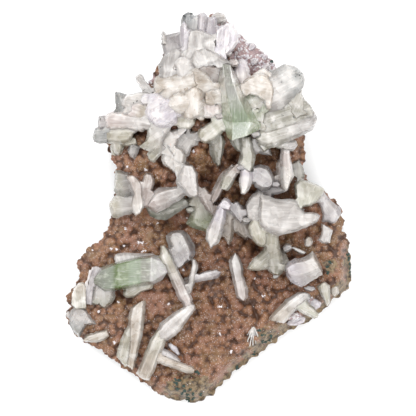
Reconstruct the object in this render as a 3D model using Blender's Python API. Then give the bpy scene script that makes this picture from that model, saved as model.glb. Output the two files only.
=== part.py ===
"""A cluster of green apophyllite and white stilbite on a loose piece of crusted basalt.

The piece lies on its flat back, crystals up. +Z is up, +Y is the end where the crystals crowd
together, and the origin is under the middle of the piece on the surface that it rests on.
Every measure below is in millimetres, and is turned into metres when a mesh is made.
"""
import math
import random

import bmesh
import bpy
from mathutils import Vector, geometry
from mathutils.bvhtree import BVHTree

MM = 0.001

# Rock
SLAB_TOP = 16.0          # top of the lower slab
STEP_RISE = 9.0          # how much higher the rock is above the step
STEP_CHANGE = (8.0, 24.0)    # the step goes from steep to gentle between these places along x
STEP_MIDDLE = (-1.0, -2.0)   # y of the step's middle where it is steep and where it is gentle
STEP_HALF = (3.0, 22.0)      # and half its width there
MOUND_RISE = 10.0        # extra height under the crowd of crystals
MOUND_PLACE = (-2.0, 42.0)
MOUND_SPREAD = (26.0, 24.0)
RIGHT_RISE = 3.0         # low rise under the right bow tie
RIGHT_PLACE = (38.0, -2.0)
RIGHT_SPREAD = (12.0, 10.0)
EDGE_DROP = 3.0          # the top rounds down by this much at the rim
EDGE_BAND = 4.0          # over this distance
BREAK_DROP = 6.0         # further drop along the broken lower right and bottom rim
BREAK_BAND = 6.5
BREAK_SIDE = Vector((0.62, -0.78))   # the way to the broken side, from the middle
BREAK_START = 40.0       # distance that way at which the broken rim begins
BREAK_FADE = 12.0        # and over which it grows to its full drop
SIDE_LEVEL = 0.5         # height of the side's middle ring, as a share of the rim's height
SIDE_BULGE = 0.985       # plan scale of that ring
BACK_SCALE = 0.955       # plan scale of the flat back
GRID = 3.3               # distance between the points of the crust's surface
GRID_JITTER = 0.45       # and how far each is moved at random
GRID_SEED = 3
RIM_CLEARANCE = 1.65     # the surface's inner points stay this far from the rim
CLOSE_ENOUGH = 1e-4      # points of the surface that are closer than this are one
RIM_STEP = 3.8           # distance between the points of the rim
LUMP_SPACING = 5.0       # distance between the crust's round lumps
LUMP_JITTER = 1.1        # and how far each is moved at random
LUMP_SEED = 5
LUMP_SIZE_SEED = 11
LUMP_RADIUS = (2.4, 3.7)
LUMP_HEIGHT = 0.55       # a lump's height, as a share of its radius

# Crystals
GAP = 0.35               # space left between two solids that touch
LOOK_RINGS = (0.4, 0.7, 1.0)     # a crust point looks for crystals on rings of these radii
LOOK_COUNT = 12                  # at this many places on each
SHARPEST_SHELL = 2.5     # a pocket's sharp corner reaches out by at most this times the gap
SEAT = 1.6               # how far a crystal's foot reaches into the rock
FOOT_SIDE = 0.6          # a crystal's underside is this share of its width
FOOT_END = (0.8, 0.5)    # and this share of its length, for a short and for a tall crystal
TALL = (3.0, 12.0)       # from and to what depth below its outline a crystal counts as tall
LEAN = 0.3               # how far a tall crystal's foot lies back to its root, as a share of its length
LEAST_BEND = 0.5         # outline points that stand out less than this are left out
LEAST_POINTS = 5         # down to this many
SMALLEST_EDGE = 0.003    # points closer than this are one point
FLAT_ANGLE = math.radians(2.0)   # faces that meet flatter than this become one

RIM = [
    (-39, -4), (-40.6, -9), (-44.2, -13.6), (-48.4, -16.2), (-52.9, -22.6), (-51.5, -28),
    (-56.8, -35.6), (-55.8, -39.4), (-57.4, -44), (-54.5, -49), (-50.7, -53), (-45.4, -55.8),
    (-39.8, -59.6), (-30.3, -66.6), (-23.4, -72), (-16.3, -76.6), (-5.4, -78.4), (0, -76),
    (4.6, -71.8), (11.4, -64.8), (21.9, -57.6), (31.8, -49.2), (38.5, -46.9), (44.6, -42),
    (50.3, -37), (56.5, -32.5), (57.5, -26), (56.5, -14.2), (53.8, -9), (53.4, 0.2), (47, 6),
    (40, 10.3), (37.6, 15), (38.4, 20.5), (38, 29), (35, 38), (32, 48), (26.6, 56.6), (22.2, 61.6),
    (16.6, 66), (11, 69.5), (7.2, 74.6), (4.6, 78), (1, 77.4), (-3, 72), (-10, 68), (-17, 62),
    (-21.6, 53.8), (-24, 50), (-27, 44), (-33, 39), (-38, 33), (-41, 26.4), (-38.2, 18.8),
    (-36, 12), (-37, 3),
]

# Hollows between the crystals and in the crust: x, y, radius, depth
PITS = [
    (-15.5, -6.5, 3.6, 4.5), (0, 10.5, 4.4, 7), (11, 19.5, 3, 6), (21, 19, 3.2, 5), (-3, 35, 3, 2),
    (29, 5, 4, 5), (13, 4.4, 2.8, 4), (19.5, -16, 2.6, 4), (32.4, -19.4, 2.4, 3), (36, -31.6, 2.4, 2),
    (-28, 28.6, 3, 3), (-5, -31, 1.8, 1.6), (-36, -35, 2, 2), (30, -11.5, 2.6, 2.5),
]

# Round masses of crust that stand out of the rest: x, y, radius, height
KNOBS = [
    (42.2, -8.4, 3.1, 2.8), (-4.2, 21.5, 4.6, 4), (-26.6, 19, 5, 2.5), (-19, 13, 5, 3.5),
    (14.6, -17, 4.4, 3.5), (7.6, 4.4, 2.8, 3), (41.4, 0, 3, 4), (-36, -38, 2.8, 2.2), (25, 59, 3, 2),
    (19, 59, 3.2, 3), (35.6, -12, 3.4, 2), (-3.2, -15, 3, 1.6), (22, -28, 4, 1.4),
]


def crystal(name, root, tip, outline, up=2.0, side=0.42, end=0.16, ridge=0.0, roll=0.0):
    """One crystal with a flat top face and bevels all round.

    root and tip are the ends of its long axis, outline is its widest outline in plan, up is how
    far its top face stands above that outline, side and end are the bevels' shares of its width
    and length, ridge moves the top face to one side, and roll tilts the crystal to that side.
    """
    return {"name": name, "root": root, "tip": tip, "outline": outline, "up": up,
            "side": side, "end": end, "ridge": ridge, "roll": roll}


def prism(name, sections):
    """One crystal through measured cross-sections, each with its points in the same order."""
    return {"name": name, "sections": sections}


UPPER_GREEN_PRISM = [
    prism("upper_green_prism", [
        [(4.2, 57, 43), (5.6, 57.2, 47), (8.6, 56.6, 47), (10, 55, 43), (8.6, 54, 34), (5.4, 54, 34)],
        [(3.8, 50, 46), (6.2, 51.8, 51), (9.2, 51.4, 51), (12.4, 49.5, 45), (10.5, 49, 33), (5, 49, 33)],
        [(3.7, 42.6, 47), (7.6, 43.5, 52.5), (12, 43, 52.5), (15.8, 42.5, 46), (13.4, 43, 32), (6, 43, 32)],
        [(5.2, 35, 46), (9.8, 33.8, 52.5), (16.4, 34, 52.5), (21, 33, 46), (17, 34, 32), (8, 34, 32)],
        [(7.5, 27.9, 43.5), (9.4, 26.9, 46.5), (14.8, 28.4, 47), (21, 31.4, 45), (15.5, 31, 34), (9.4, 30, 34)],
    ]),
]

LOWER_GREEN_PRISM = [
    prism("lower_green_prism", [
        [(-46.6, -28.2, 20), (-45.9, -28.2, 22.5), (-45.9, -30, 22.5), (-46.2, -30.8, 20),
         (-45, -30.6, 17), (-45, -28.6, 17)],
        [(-42.6, -23.4, 20.5), (-42.2, -24.8, 25.5), (-41.3, -32.3, 25.5), (-41.9, -33.7, 20.5),
         (-41, -32, 15), (-41, -25, 15)],
        [(-36.4, -21.5, 21), (-36.3, -22.4, 27.5), (-36, -31.8, 27.5), (-36, -32.9, 21),
         (-36, -32, 15), (-36, -23, 15)],
        [(-28, -19.4, 21), (-28, -20.3, 28), (-28, -30.2, 28), (-28, -31.5, 21),
         (-28, -30, 15), (-28, -21, 15)],
        [(-21.6, -18.7, 21), (-22.8, -19.8, 27.4), (-22.4, -29.3, 27), (-21.4, -30.5, 21),
         (-22, -28, 15.5), (-22, -20.6, 15.5)],
        [(-18.8, -19.2, 20.6), (-16.8, -22.4, 22.6), (-16.4, -25.6, 22.6), (-18.6, -29, 20.6),
         (-19.4, -27, 17.5), (-19.4, -21.6, 17.5)],
    ]),
]

UPPER_CLUSTER = [
    crystal("dark_tipped_crystal", (-8, 64, 35), (-8, 78, 33),
            [(-10.8, 66), (-10.9, 75), (-10.2, 76.9), (-8.5, 78), (-6.4, 77.9), (-4.8, 74.8), (-5, 66)], 2.4),
    crystal("narrow_lilac_blade", (-9.5, 58, 40), (-9.6, 74.5, 37),
            [(-10.8, 59), (-11.6, 68), (-11.2, 72.4), (-10, 74.4), (-8.3, 73), (-8, 66), (-8.6, 59)], 1.8, 0.6),
    crystal("pointed_white_crystal", (-3, 66, 37), (-2.2, 78.2, 34),
            [(-5, 66), (-4.9, 75.4), (-3.9, 77.2), (-2.1, 78.2), (-0.8, 77.2), (-0.2, 75.4), (-0.8, 66)], 2.2, 0.6),
    crystal("short_white_blade", (0.8, 64, 37), (2.4, 76.4, 33),
            [(-0.6, 66), (0.2, 73.6), (1.4, 76), (2.7, 76.4), (3.5, 75), (3.4, 70), (2.4, 65)], 1.8, 0.55),
    crystal("horned_crystal", (-14, 60, 37), (-15, 70.5, 33),
            [(-17.6, 59), (-18.5, 65), (-18.2, 68.6), (-16.2, 69.2), (-11.2, 70.3), (-10.4, 66),
             (-11, 59)], 2.2, 0.3, 0.2),
    crystal("horn", (-17.6, 65, 36), (-18.2, 70.9, 34),
            [(-18.8, 65), (-18.8, 69.6), (-18.1, 71), (-16.6, 69), (-16.2, 65)], 1.6, 0.5, 0.2),
    crystal("matte_grey_crystal", (-3, 59, 42), (-4, 71, 38),
            [(-8.4, 61), (-8.2, 68), (-7.2, 71), (-4.3, 71.2), (-1, 70), (1.4, 69), (2.8, 66), (2.8, 61)],
            2.6, 0.16, 0.14),
    crystal("pearly_plate", (6.5, 58, 42), (8, 73.6, 39),
            [(6.2, 59.8), (3.4, 62.4), (2.6, 66.6), (3.2, 71.2), (7.5, 73.6), (9.8, 73.4), (11.9, 69),
             (12, 66), (9.4, 62.4)], 2, 0.3, 0.12, 0.3),
    crystal("winged_fan", (1, 55, 45), (-2, 64.4, 42),
            [(-3.6, 55.8), (-7.9, 61), (-6.6, 63.7), (-4.3, 63.4), (-2.2, 64.4), (0.4, 63.3), (3.4, 61.4),
             (9.8, 57.2), (6, 56)], 2.2, 0.3, 0.3),
    crystal("grey_disc", (-14, 51, 44), (-12, 63.6, 40),
            [(-19.6, 52.6), (-20, 56.6), (-18.2, 60), (-14.2, 63.3), (-12.2, 63.6), (-8.6, 62), (-5.8, 58),
             (-7, 53), (-14, 51)], 2.4, 0.22, 0.22),
    crystal("disc_inner_plate", (-11, 54, 47), (-10, 60.3, 44.5),
            [(-13.8, 57.2), (-12, 59.7), (-9.2, 60.3), (-6.6, 58.6), (-5.9, 56), (-8.4, 54), (-12.6, 54.2)],
            1.2, 0.3, 0.3),
    crystal("cream_wing", (-3, 50, 49), (-21.8, 48.5, 43),
            [(-2.4, 55.2), (-5, 55.6), (-9, 53.9), (-15, 52.8), (-20.8, 52.5), (-21.9, 50), (-21.8, 46.2),
             (-19.6, 45.8), (-18.2, 44.3), (-16.6, 43.8), (-8, 45.4), (-3, 48)], 3.2, 0.3, 0.1, 0.25),
    crystal("upper_right_lobe", (-4, 49, 49.5), (3.6, 49, 45),
            [(-6, 55), (-2.3, 55.3), (-0.4, 53.6), (1.6, 51), (5.4, 46.8), (4.6, 43.6), (-2, 45), (-6, 50)],
            3, 0.3, 0.2),
    crystal("pink_facet", (-1, 54.6, 47.5), (4.4, 51.8, 43.5),
            [(-2.6, 56.2), (4.2, 56.4), (4.8, 53), (5, 47.4), (2, 50.6), (-0.4, 53.4)], 1.4, 0.2, 0.14),
    crystal("left_lobe", (-7, 42, 50), (-16.7, 41, 47),
            [(-7.6, 45), (-11.2, 46.5), (-14, 45.6), (-15.8, 43.8), (-16.7, 41.4), (-16, 39.4), (-14.2, 37.6),
             (-11, 36.4), (-8.4, 37.6), (-6.4, 41)], 3.4, 0.26, 0.2),
    crystal("centre_lobe", (-5, 47, 51), (-5, 34.8, 48),
            [(-9.6, 46), (-5, 48.6), (-1.4, 46.6), (-1, 40), (-1.4, 36.6), (-4.8, 35.6), (-7.4, 34.6),
             (-10.6, 36), (-10.2, 41)], 3.2, 0.34, 0.16, -0.2),
    crystal("round_right_lobe", (0, 42, 50), (5.8, 43.6, 45),
            [(-1.8, 45), (0.6, 48), (3.2, 48), (5.4, 46.2), (5.9, 43), (4.4, 40.6), (1.6, 39.8), (-1.4, 41)],
            3, 0.3, 0.2),
    crystal("frilly_lower_lobe", (0, 41, 48), (0.6, 35.5, 46),
            [(-2.6, 41), (4, 40.6), (4.2, 38.8), (3.6, 37), (1.8, 35.9), (-0.4, 35.5), (-3, 36)], 2.2, 0.3, 0.2),
    crystal("rough_white_crystal", (-17, 41, 47), (-24, 37, 44),
            [(-20.4, 45.7), (-23.2, 45.1), (-24.4, 41), (-25.3, 38), (-24.6, 35.8), (-21.8, 33), (-19.2, 31.7),
             (-15.8, 31.8), (-12.6, 33.2), (-12, 37), (-16, 43)], 2.6, 0.26, 0.2),
    crystal("shaded_under_lobe", (-9, 37, 44), (-9, 31, 43),
            [(-13, 33), (-12.4, 37), (-6, 37), (-5, 33.6), (-7.4, 31.2), (-11.6, 31.4)], 1.8, 0.3, 0.2),
    crystal("triangular_fan", (-17, 31, 43), (-27.6, 24.4, 38),
            [(-15, 31.5), (-19, 33), (-22, 35), (-24.6, 33.6), (-24.3, 29), (-25.2, 26.4), (-27.7, 24.4),
             (-25.4, 23.1), (-20.6, 21.2), (-18.6, 22.6), (-18, 27)], 1.6, 0.4, 0.3),
]

LEFT_CLUSTER = [
    crystal("clear_pyramid", (-34.6, 39, 32), (-36.6, 46.4, 30),
            [(-34, 38.4), (-32.7, 45.2), (-34.8, 46.1), (-37.2, 46.5), (-37.3, 43), (-36.8, 38.8)], 2.4, 0.8, 0.3),
    crystal("grey_ellipse", (-24, 41, 38), (-34.8, 41.6, 34),
            [(-23, 45.4), (-25, 46.2), (-28, 45.9), (-32.5, 45), (-34.2, 43.6), (-34.8, 41.4), (-33.4, 38.8),
             (-29, 36.8), (-24.6, 37), (-23.2, 41)], 2.6, 0.3, 0.16),
    crystal("inner_ellipse", (-25, 38, 39), (-31, 40, 36.5),
            [(-24.8, 41), (-28, 42.2), (-31, 41.2), (-31.2, 39), (-30, 35.4), (-25, 35)], 2.2, 0.3, 0.2),
    crystal("pink_white_blade", (-24, 34, 39), (-41.6, 35, 34),
            [(-24.2, 35.4), (-25.8, 36.5), (-30, 36.9), (-34, 38.1), (-38, 38.4), (-40.6, 37.6), (-41.6, 35.2),
             (-41, 32.6), (-39.6, 31), (-33, 31.5), (-29.5, 30.8), (-26, 30.2), (-24.4, 31.5)], 2.8, 0.36, 0.12),
    crystal("upper_edge_crystal", (-40, 34, 33), (-44.2, 34.6, 31),
            [(-40, 36.8), (-42.2, 37), (-43.9, 36.5), (-44.3, 33.8), (-43.8, 31.2), (-40, 31)], 1.8, 0.4, 0.24),
    crystal("lower_edge_crystal", (-40, 28.6, 33), (-46.3, 28.4, 30),
            [(-40, 31.6), (-44.2, 32.4), (-45.5, 31.6), (-46.4, 28.4), (-45.8, 26.5), (-43.5, 25.6), (-40, 25.8)],
            2, 0.4, 0.2),
    crystal("green_grey_mass", (-30, 29.4, 34), (-42, 28.6, 31.5),
            [(-29.6, 29.4), (-30.6, 31.2), (-38, 31.8), (-42, 31), (-41.8, 27), (-39, 25.8), (-34.3, 25.8),
             (-31.4, 26.5)], 2.6, 0.4, 0.14),
    crystal("hanging_stub", (-36.6, 28, 31.5), (-35.8, 20.8, 29),
            [(-39.3, 27), (-34.4, 27), (-33.6, 24), (-34.4, 21.8), (-35.8, 20.8), (-37.5, 21.8), (-38.7, 24)],
            2.2, 0.5, 0.2),
]

SMALL_GREY_BLADE = [
    crystal("small_grey_blade", (-29.4, 26.4, 31), (-30.4, 19.4, 28.5),
            [(-31, 26.4), (-28.6, 26.2), (-27.7, 24), (-28.4, 21), (-29.6, 19.4), (-31.6, 20.6), (-32.4, 23)],
            1.4, 0.5, 0.16, -0.2),
]

CURVED_FAN = [
    crystal("fan_upper_arm", (-11, 29, 40), (-17.6, 27, 38),
            [(-9.2, 30.8), (-12, 31.8), (-15.5, 30.6), (-17.8, 27.6), (-18.4, 24), (-14, 22.4), (-13.2, 24.4),
             (-12.4, 26.6), (-10.4, 29)], 2.2, 0.3, 0.1),
    crystal("fan_lower_arm", (-13, 24, 38), (-15.6, 14.6, 35),
            [(-13.4, 24.6), (-18.4, 25), (-18.9, 20), (-18.2, 17.3), (-15.4, 15.4), (-13.8, 14), (-11.4, 13.5),
             (-10, 15), (-9.2, 18), (-8.6, 21), (-10.4, 23.4)], 2.4, 0.32, 0.14),
    crystal("fan_hollow_plate", (-6, 28, 36), (-11, 20, 34.5),
            [(-9.6, 30.4), (-4.6, 30.6), (-3.6, 27.6), (-4.2, 25), (-6.6, 24.2), (-8, 20.6), (-12, 19), (-13.6, 24.6)],
            1.2, 0.3, 0.2),
    crystal("hanging_block", (-8, 17, 37), (-6.4, 4.2, 36),
            [(-10.6, 17.4), (-6, 17), (-4.5, 14), (-4, 10), (-3.8, 5), (-5.5, 4.1), (-8, 4.4), (-10, 6.6),
             (-13.2, 10), (-12.6, 13)], 3.2, 0.34, 0.1, 0.3),
]

LEFT_EDGE_CRYSTALS = [
    crystal("left_edge_plate", (-31, 10, 30), (-37.6, 9, 27),
            [(-32, 14.4), (-37.2, 15.3), (-37.6, 11), (-37.9, 6.8), (-36.4, 4.8), (-33.5, 4.2), (-30, 5),
             (-28.6, 8), (-30, 11)], 2.6, 0.4, 0.24, -0.3),
    crystal("left_edge_lump", (-31, 1, 26.5), (-39.8, 1, 24),
            [(-30.6, 5.6), (-34, 5.8), (-37.4, 5.2), (-39.9, 1.8), (-39.3, -1.5), (-38.3, -4), (-36, -4.2),
             (-33.5, -2.8), (-30.4, -2.4), (-30, 1)], 2.4, 0.3, 0.2),
    crystal("pink_upright_blade", (-30.4, 12, 32), (-28.9, -2.6, 31.5),
            [(-33.2, 12.6), (-30.6, 13.4), (-28, 11.6), (-26.2, 9.4), (-26.4, 5.4), (-25.4, 1.4), (-27, -2.2),
             (-29.2, -3.3), (-30.4, -1.5), (-30.9, 2), (-29.8, 5.4), (-31, 9)], 2.6, 0.42, 0.08, 0.2),
    crystal("pink_back_blade", (-23.6, 13, 31.5), (-26, 0.6, 29),
            [(-25.4, 14.2), (-22.4, 13.6), (-21.2, 11), (-22.4, 7), (-23.6, 3), (-25.2, -0.4), (-27.6, 2.6),
             (-27.4, 8)], 2.4, 0.42, 0.1),
]

LONG_LEFT_BLADE = [
    crystal("long_left_blade", (-10, 6.6, 34), (-24, 0, 30.5),
            [(-9.6, 9.4), (-13, 8.6), (-20, 8.2), (-21.8, 6.6), (-23.4, 3.6), (-24.3, 0.5), (-22.5, -1.2),
             (-20.8, -2), (-18, -0.8), (-11, 3.4), (-9.4, 5)], 2.6, 0.45, 0.06, -0.1),
    crystal("shaded_green_crystals", (-9, 1.6, 29), (-24.6, -2, 26),
            [(-7.4, 1.4), (-8.6, 4), (-16, 3), (-25.4, 0.4), (-23.5, -3.2), (-20.5, -4.5), (-17, -5), (-14, -3.2)],
            1.6, 0.4, 0.1),
]

RIGHT_FANS = [
    crystal("flat_cream_crystal", (24, 46, 48.4), (13, 48.6, 44.5),
            [(13.4, 49.9), (15, 51.4), (18, 53), (21.5, 53.7), (23.4, 52.6), (25.3, 49.5), (25.9, 46.8),
             (25.5, 43), (24.7, 39.2), (23, 38.8), (23, 41.5), (21.1, 43), (18, 44.9), (14.6, 44.9),
             (13.1, 47.6)], 2.6, 0.24, 0.14),
    crystal("round_ended_crystal", (22, 44, 45.6), (38.2, 52, 43),
            [(20, 46), (20.6, 53.4), (24.4, 53.8), (27.6, 55.8), (30, 57.2), (33, 56.8), (36, 55.4), (38, 53),
             (38.4, 50.5), (37.4, 47.4), (33.5, 43.2), (29, 39), (26, 38.3), (22.8, 38.2)], 3.4, 0.34, 0.14, 0.1),
    crystal("fan_top_wedge", (34, 37, 43.4), (37, 44, 42.4),
            [(32.2, 38.4), (34.9, 42.6), (36.8, 45.7), (37.9, 43), (38.3, 39.9), (36.8, 36.1), (34.9, 35)],
            1.4, 0.2, 0.14),
    crystal("fan_inner_plate", (22, 34, 43), (40, 40, 41.6),
            [(22.4, 38.6), (29.5, 39.6), (36.8, 45.9), (38.4, 43), (40.4, 41), (42.2, 38), (41, 35), (30, 31),
             (22, 29)], 1.8, 0.2, 0.1),
    crystal("fan_striated_side", (20, 27.4, 43), (42, 34, 41.5),
            [(18.4, 27.6), (21, 31), (30, 33.4), (38, 37), (42.2, 38.2), (43.3, 35.8), (42.6, 33.2), (41.2, 30.8),
             (34, 27.2), (26, 23.9), (23.6, 23.6), (20.6, 25.2)], 3.2, 0.5, 0.08, -0.1),
    crystal("blade_under_fan", (20, 27, 37.5), (24, 20.8, 35),
            [(18.3, 27.4), (18.4, 23.6), (19.6, 21.8), (22.5, 21.2), (25.4, 20.6), (24.8, 23), (23.6, 27)],
            1.6, 0.4, 0.2),
    crystal("upper_green_lobe", (20, 40, 44), (17, 45.6, 42),
            [(14.8, 40), (14.2, 44.8), (17, 45.5), (20, 44.8), (22.6, 42.8), (23.5, 40.4), (22.6, 38)],
            2.8, 0.3, 0.2),
    crystal("lower_green_lobe", (20, 39, 45), (20.6, 31.2, 43),
            [(17, 39.6), (22.6, 40), (22.8, 36), (22, 33), (20.8, 31.2), (18.8, 32.4), (17.2, 36)], 2.4, 0.3, 0.2),
]

GREEN_LOBE_CRYSTALS = [
    crystal("cream_green_lobe", (5, 33, 43), (-2, 27, 40),
            [(3.8, 36.8), (-1.5, 32.9), (-4.3, 31), (-4.4, 28.6), (-3.2, 26.6), (-1.2, 25.5), (2.8, 27.2),
             (6, 30.2), (7, 33)], 2.6, 0.36, 0.14),
    crystal("hanging_clear_blade", (4, 28.6, 37.5), (3.6, 16.4, 34.5),
            [(0.1, 27), (0.3, 22), (1.6, 19), (3.4, 16.3), (4.8, 17), (5.4, 20), (6.9, 26.6), (5.6, 29)],
            1.8, 0.5, 0.08, 0.2),
]

MIDDLE_CLUSTER = [
    crystal("green_shaded_stub", (9.6, 28.6, 37), (11.6, 22, 36),
            [(7.6, 28.6), (9.5, 24.6), (11.3, 22.7), (13, 22), (13, 28.6)], 1.6, 0.4, 0.1),
    crystal("tall_green_grey_blade", (15, 29, 39), (15.4, 14.8, 38),
            [(12.2, 28.6), (17.2, 28.8), (17.9, 24), (18.8, 20.5), (18.2, 17), (16.6, 14.8), (13, 15.6),
             (11.4, 17), (12.9, 20)], 2.4, 0.44, 0.1),
    crystal("chisel_blade", (11.4, 16.6, 38), (6, 7.4, 36.5),
            [(11.4, 17.8), (8, 15.4), (5.5, 13), (4.7, 10), (4.6, 7.5), (7.5, 6.8), (9, 8.2), (12.4, 15)],
            2.2, 0.4, 0.06),
    crystal("pink_grey_blade", (9, 16.6, 34), (1.6, 1.6, 32),
            [(9.8, 17.8), (6, 15), (3.8, 12.4), (2.4, 9.2), (0.3, 4), (0.8, 2.4), (1.6, 1.5), (3, 2.2),
             (4.9, 4.6), (6, 8), (9, 12)], 1.8, 0.45, 0.06),
    crystal("bright_ragged_blade", (15, 15.6, 41), (14, 5.3, 40),
            [(13, 15), (14.4, 15.7), (17.5, 14.2), (17.6, 11), (16.8, 8.4), (14.6, 5.3), (13, 5.6), (12, 9.4),
             (12.2, 12)], 2, 0.4, 0.1, -0.2),
    crystal("round_clear_crystal", (18.6, 14, 37.5), (25.6, 9.6, 35),
            [(17.6, 16.6), (21, 17.4), (23.8, 16.6), (25.4, 14.2), (26.3, 11.6), (25.8, 8.6), (24, 7.2),
             (21, 7), (18.4, 8.4), (17.2, 12)], 2.8, 0.3, 0.16),
]

LONG_WHITE_BLADE = [
    crystal("long_white_blade", (30.6, 26, 38), (30.6, 6.4, 36),
            [(28.7, 25.4), (32.2, 26.2), (32.4, 21.5), (34, 12.4), (32.6, 10), (31.6, 7.2), (30.4, 6.4),
             (29.4, 8), (28.8, 11), (28.4, 18)], 2.2, 0.4, 0.1, 0.2),
    crystal("pink_sliver", (27.8, 20, 33), (28.4, 7, 32),
            [(28.8, 20.4), (27, 18), (26.6, 10.5), (28, 8.6), (30, 6.8), (30, 12)], 1.2, 0.4, 0.1),
    crystal("shaded_sliver", (30, 7.4, 31), (21.4, 6.2, 29),
            [(31, 8.6), (26, 8.8), (23.5, 7.4), (21.2, 6.2), (24, 4.9), (27.5, 5.4), (30.6, 6.4)], 1.2, 0.4, 0.1),
]

RIGHT_EDGE_CRYSTALS = [
    crystal("green_white_edge_crystal", (37, 1, 31), (40, 11, 28.5),
            [(36.4, 0.3), (34.6, 4.4), (34.1, 9.8), (36.4, 11.5), (39.6, 10.9), (43.2, 9.5), (46.7, 7.4),
             (45.4, 5), (43.6, 2.6), (40.4, 0.6)], 2.6, 0.3, 0.16, 0.2),
    crystal("lilac_shoulder", (43, 6, 26.5), (49.5, -6.5, 24),
            [(41.8, 7.3), (44.8, 8.1), (47.9, 4.2), (51, 1.2), (52.9, 0.4), (53.1, -2.7), (50.4, -6.4),
             (47.6, -5.6), (45.2, -5.6), (45.6, -1.9), (44.1, 1.9), (41.8, 2.6)], 1.6, 0.3, 0.12),
    crystal("clear_edge_crystal", (36, 11, 28), (35.6, 19.6, 26),
            [(34, 12.4), (33.8, 18.6), (36.2, 19.4), (37.8, 16.2), (38.7, 12.4), (36.6, 10.6)], 1.8, 0.4, 0.2),
]

CENTRAL_BLADES = [
    crystal("broad_green_crystal", (-6, 4, 28), (-3, -9, 24.5),
            [(-8.3, 4.6), (-4, 4.4), (-1.4, 1), (1, -0.8), (2.2, -3.6), (0.8, -6.4), (-0.8, -9.6), (-4.2, -8.7),
             (-6.6, -7.9), (-9, -6.2), (-6.4, -1.4)], 2.4, 0.34, 0.12, 0.2),
    crystal("lilac_grey_blade", (-2, 8, 32), (2.6, -3, 30),
            [(-3.8, 8), (-1.4, 8.6), (0.2, 6.4), (1, 3.2), (3, 1.2), (3.5, -1.2), (1.8, -3.4), (-1.4, -0.4),
             (-3.8, 4)], 1.6, 0.4, 0.1),
    crystal("big_white_blade", (5.2, 0.8, 36), (0.8, -16.2, 33),
            [(3.2, -0.4), (5.2, 1), (7.2, -0.6), (7, -4), (6.2, -7.5), (5.4, -11), (4.3, -13.7), (0.8, -16.4),
             (-0.2, -14), (-1.3, -12), (-0.9, -9), (1.8, -3.5)], 2.6, 0.36, 0.07, -0.2),
    crystal("lilac_head", (8, 1, 36.5), (4.4, 3.6, 35.5),
            [(3.2, 0.2), (4.6, 2.2), (6.2, 4.1), (8.4, 3.6), (9.5, 1.4), (8.2, -1), (4.6, -1)], 1.8, 0.4, 0.2),
    crystal("pointed_brown_blade", (8, -1, 32), (8.2, -15, 28),
            [(6.8, -1), (9.4, -1), (10.1, -4.5), (10.3, -9), (9.6, -13), (8.2, -15.1), (6.8, -13.2), (5.7, -11),
             (6, -6)], 1.8, 0.44, 0.06),
    crystal("lilac_grey_crystal", (11, 2.4, 35), (13, -6, 32.5),
            [(10.2, 2.5), (11.8, 2.5), (13.5, 0.8), (14.4, -2), (14.4, -5), (12.8, -6.2), (10.6, -4), (7.8, -1.4)],
            1.8, 0.4, 0.12),
    crystal("shaded_low_crystal", (12, -4, 29.5), (15, -12.4, 26.5),
            [(10.4, -4), (15.4, -5.4), (17.6, -8), (17.2, -11), (15, -12.5), (12, -11), (10.3, -9.6)],
            1.6, 0.4, 0.14),
]

WHITE_BOW_TIE = [
    crystal("bow_tie_main", (20, -2.4, 38.5), (44.4, -4, 29),
            [(20.4, 5.9), (24, 4.7), (27, 3.5), (33, 3.7), (35.4, 3), (36.8, 0.4), (38.6, -1.8), (43, -1.8),
             (44.7, -3), (44, -5), (42.2, -6.4), (35, -9.4), (27.5, -11.3), (23, -9.3), (20.6, -7.2), (19.7, -4),
             (20, 0.6)], 3.6, 0.4, 0.14, -0.1),
    crystal("bow_tie_back_lobe", (22, 0, 36), (14.8, -0.4, 33),
            [(22, 6), (20, 6.6), (17.4, 5.6), (15.6, 3.2), (14.6, 1), (14.8, -2), (15.5, -4.6), (17.6, -6),
             (20.4, -6.6), (23, -4)], 3, 0.34, 0.16),
    crystal("bow_tie_low_lobe", (19, -6.6, 34), (21.6, -15.6, 31),
            [(15.6, -7.6), (17.6, -4), (23, -4), (23.3, -11.6), (23, -15), (21, -15.7), (18.6, -14.2),
             (16.8, -11.6)], 2.4, 0.34, 0.14),
    crystal("long_grey_green_lobe", (26, -9, 31), (27, -27, 25),
            [(22.8, -6), (27.6, -7), (28.3, -14), (29, -18), (30.1, -20.6), (30.3, -25), (28.6, -27.2),
             (25.4, -26.6), (23, -24), (22, -16)], 2.4, 0.36, 0.08),
    crystal("low_grey_lobe", (23, -19, 28), (16, -24, 24),
            [(22.4, -16.2), (25, -18.6), (24.8, -24), (22, -24.8), (18.4, -25.2), (15.3, -24.5), (16.3, -22),
             (18.6, -19.6)], 1.8, 0.36, 0.16),
]

WHITE_BLOCK = [
    crystal("white_block_crystal", (44.6, -22.6, 26), (31, -26.4, 27),
            [(41.8, -17.1), (40, -18.4), (37.5, -20), (34.6, -20), (31.6, -21.6), (30.3, -23.4), (31, -27),
             (33, -29.8), (37.2, -31.7), (40, -30), (45.7, -26.6), (44.4, -23.2), (43, -20.2)],
            4.2, 0.5, 0.14, -0.25),
]

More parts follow.
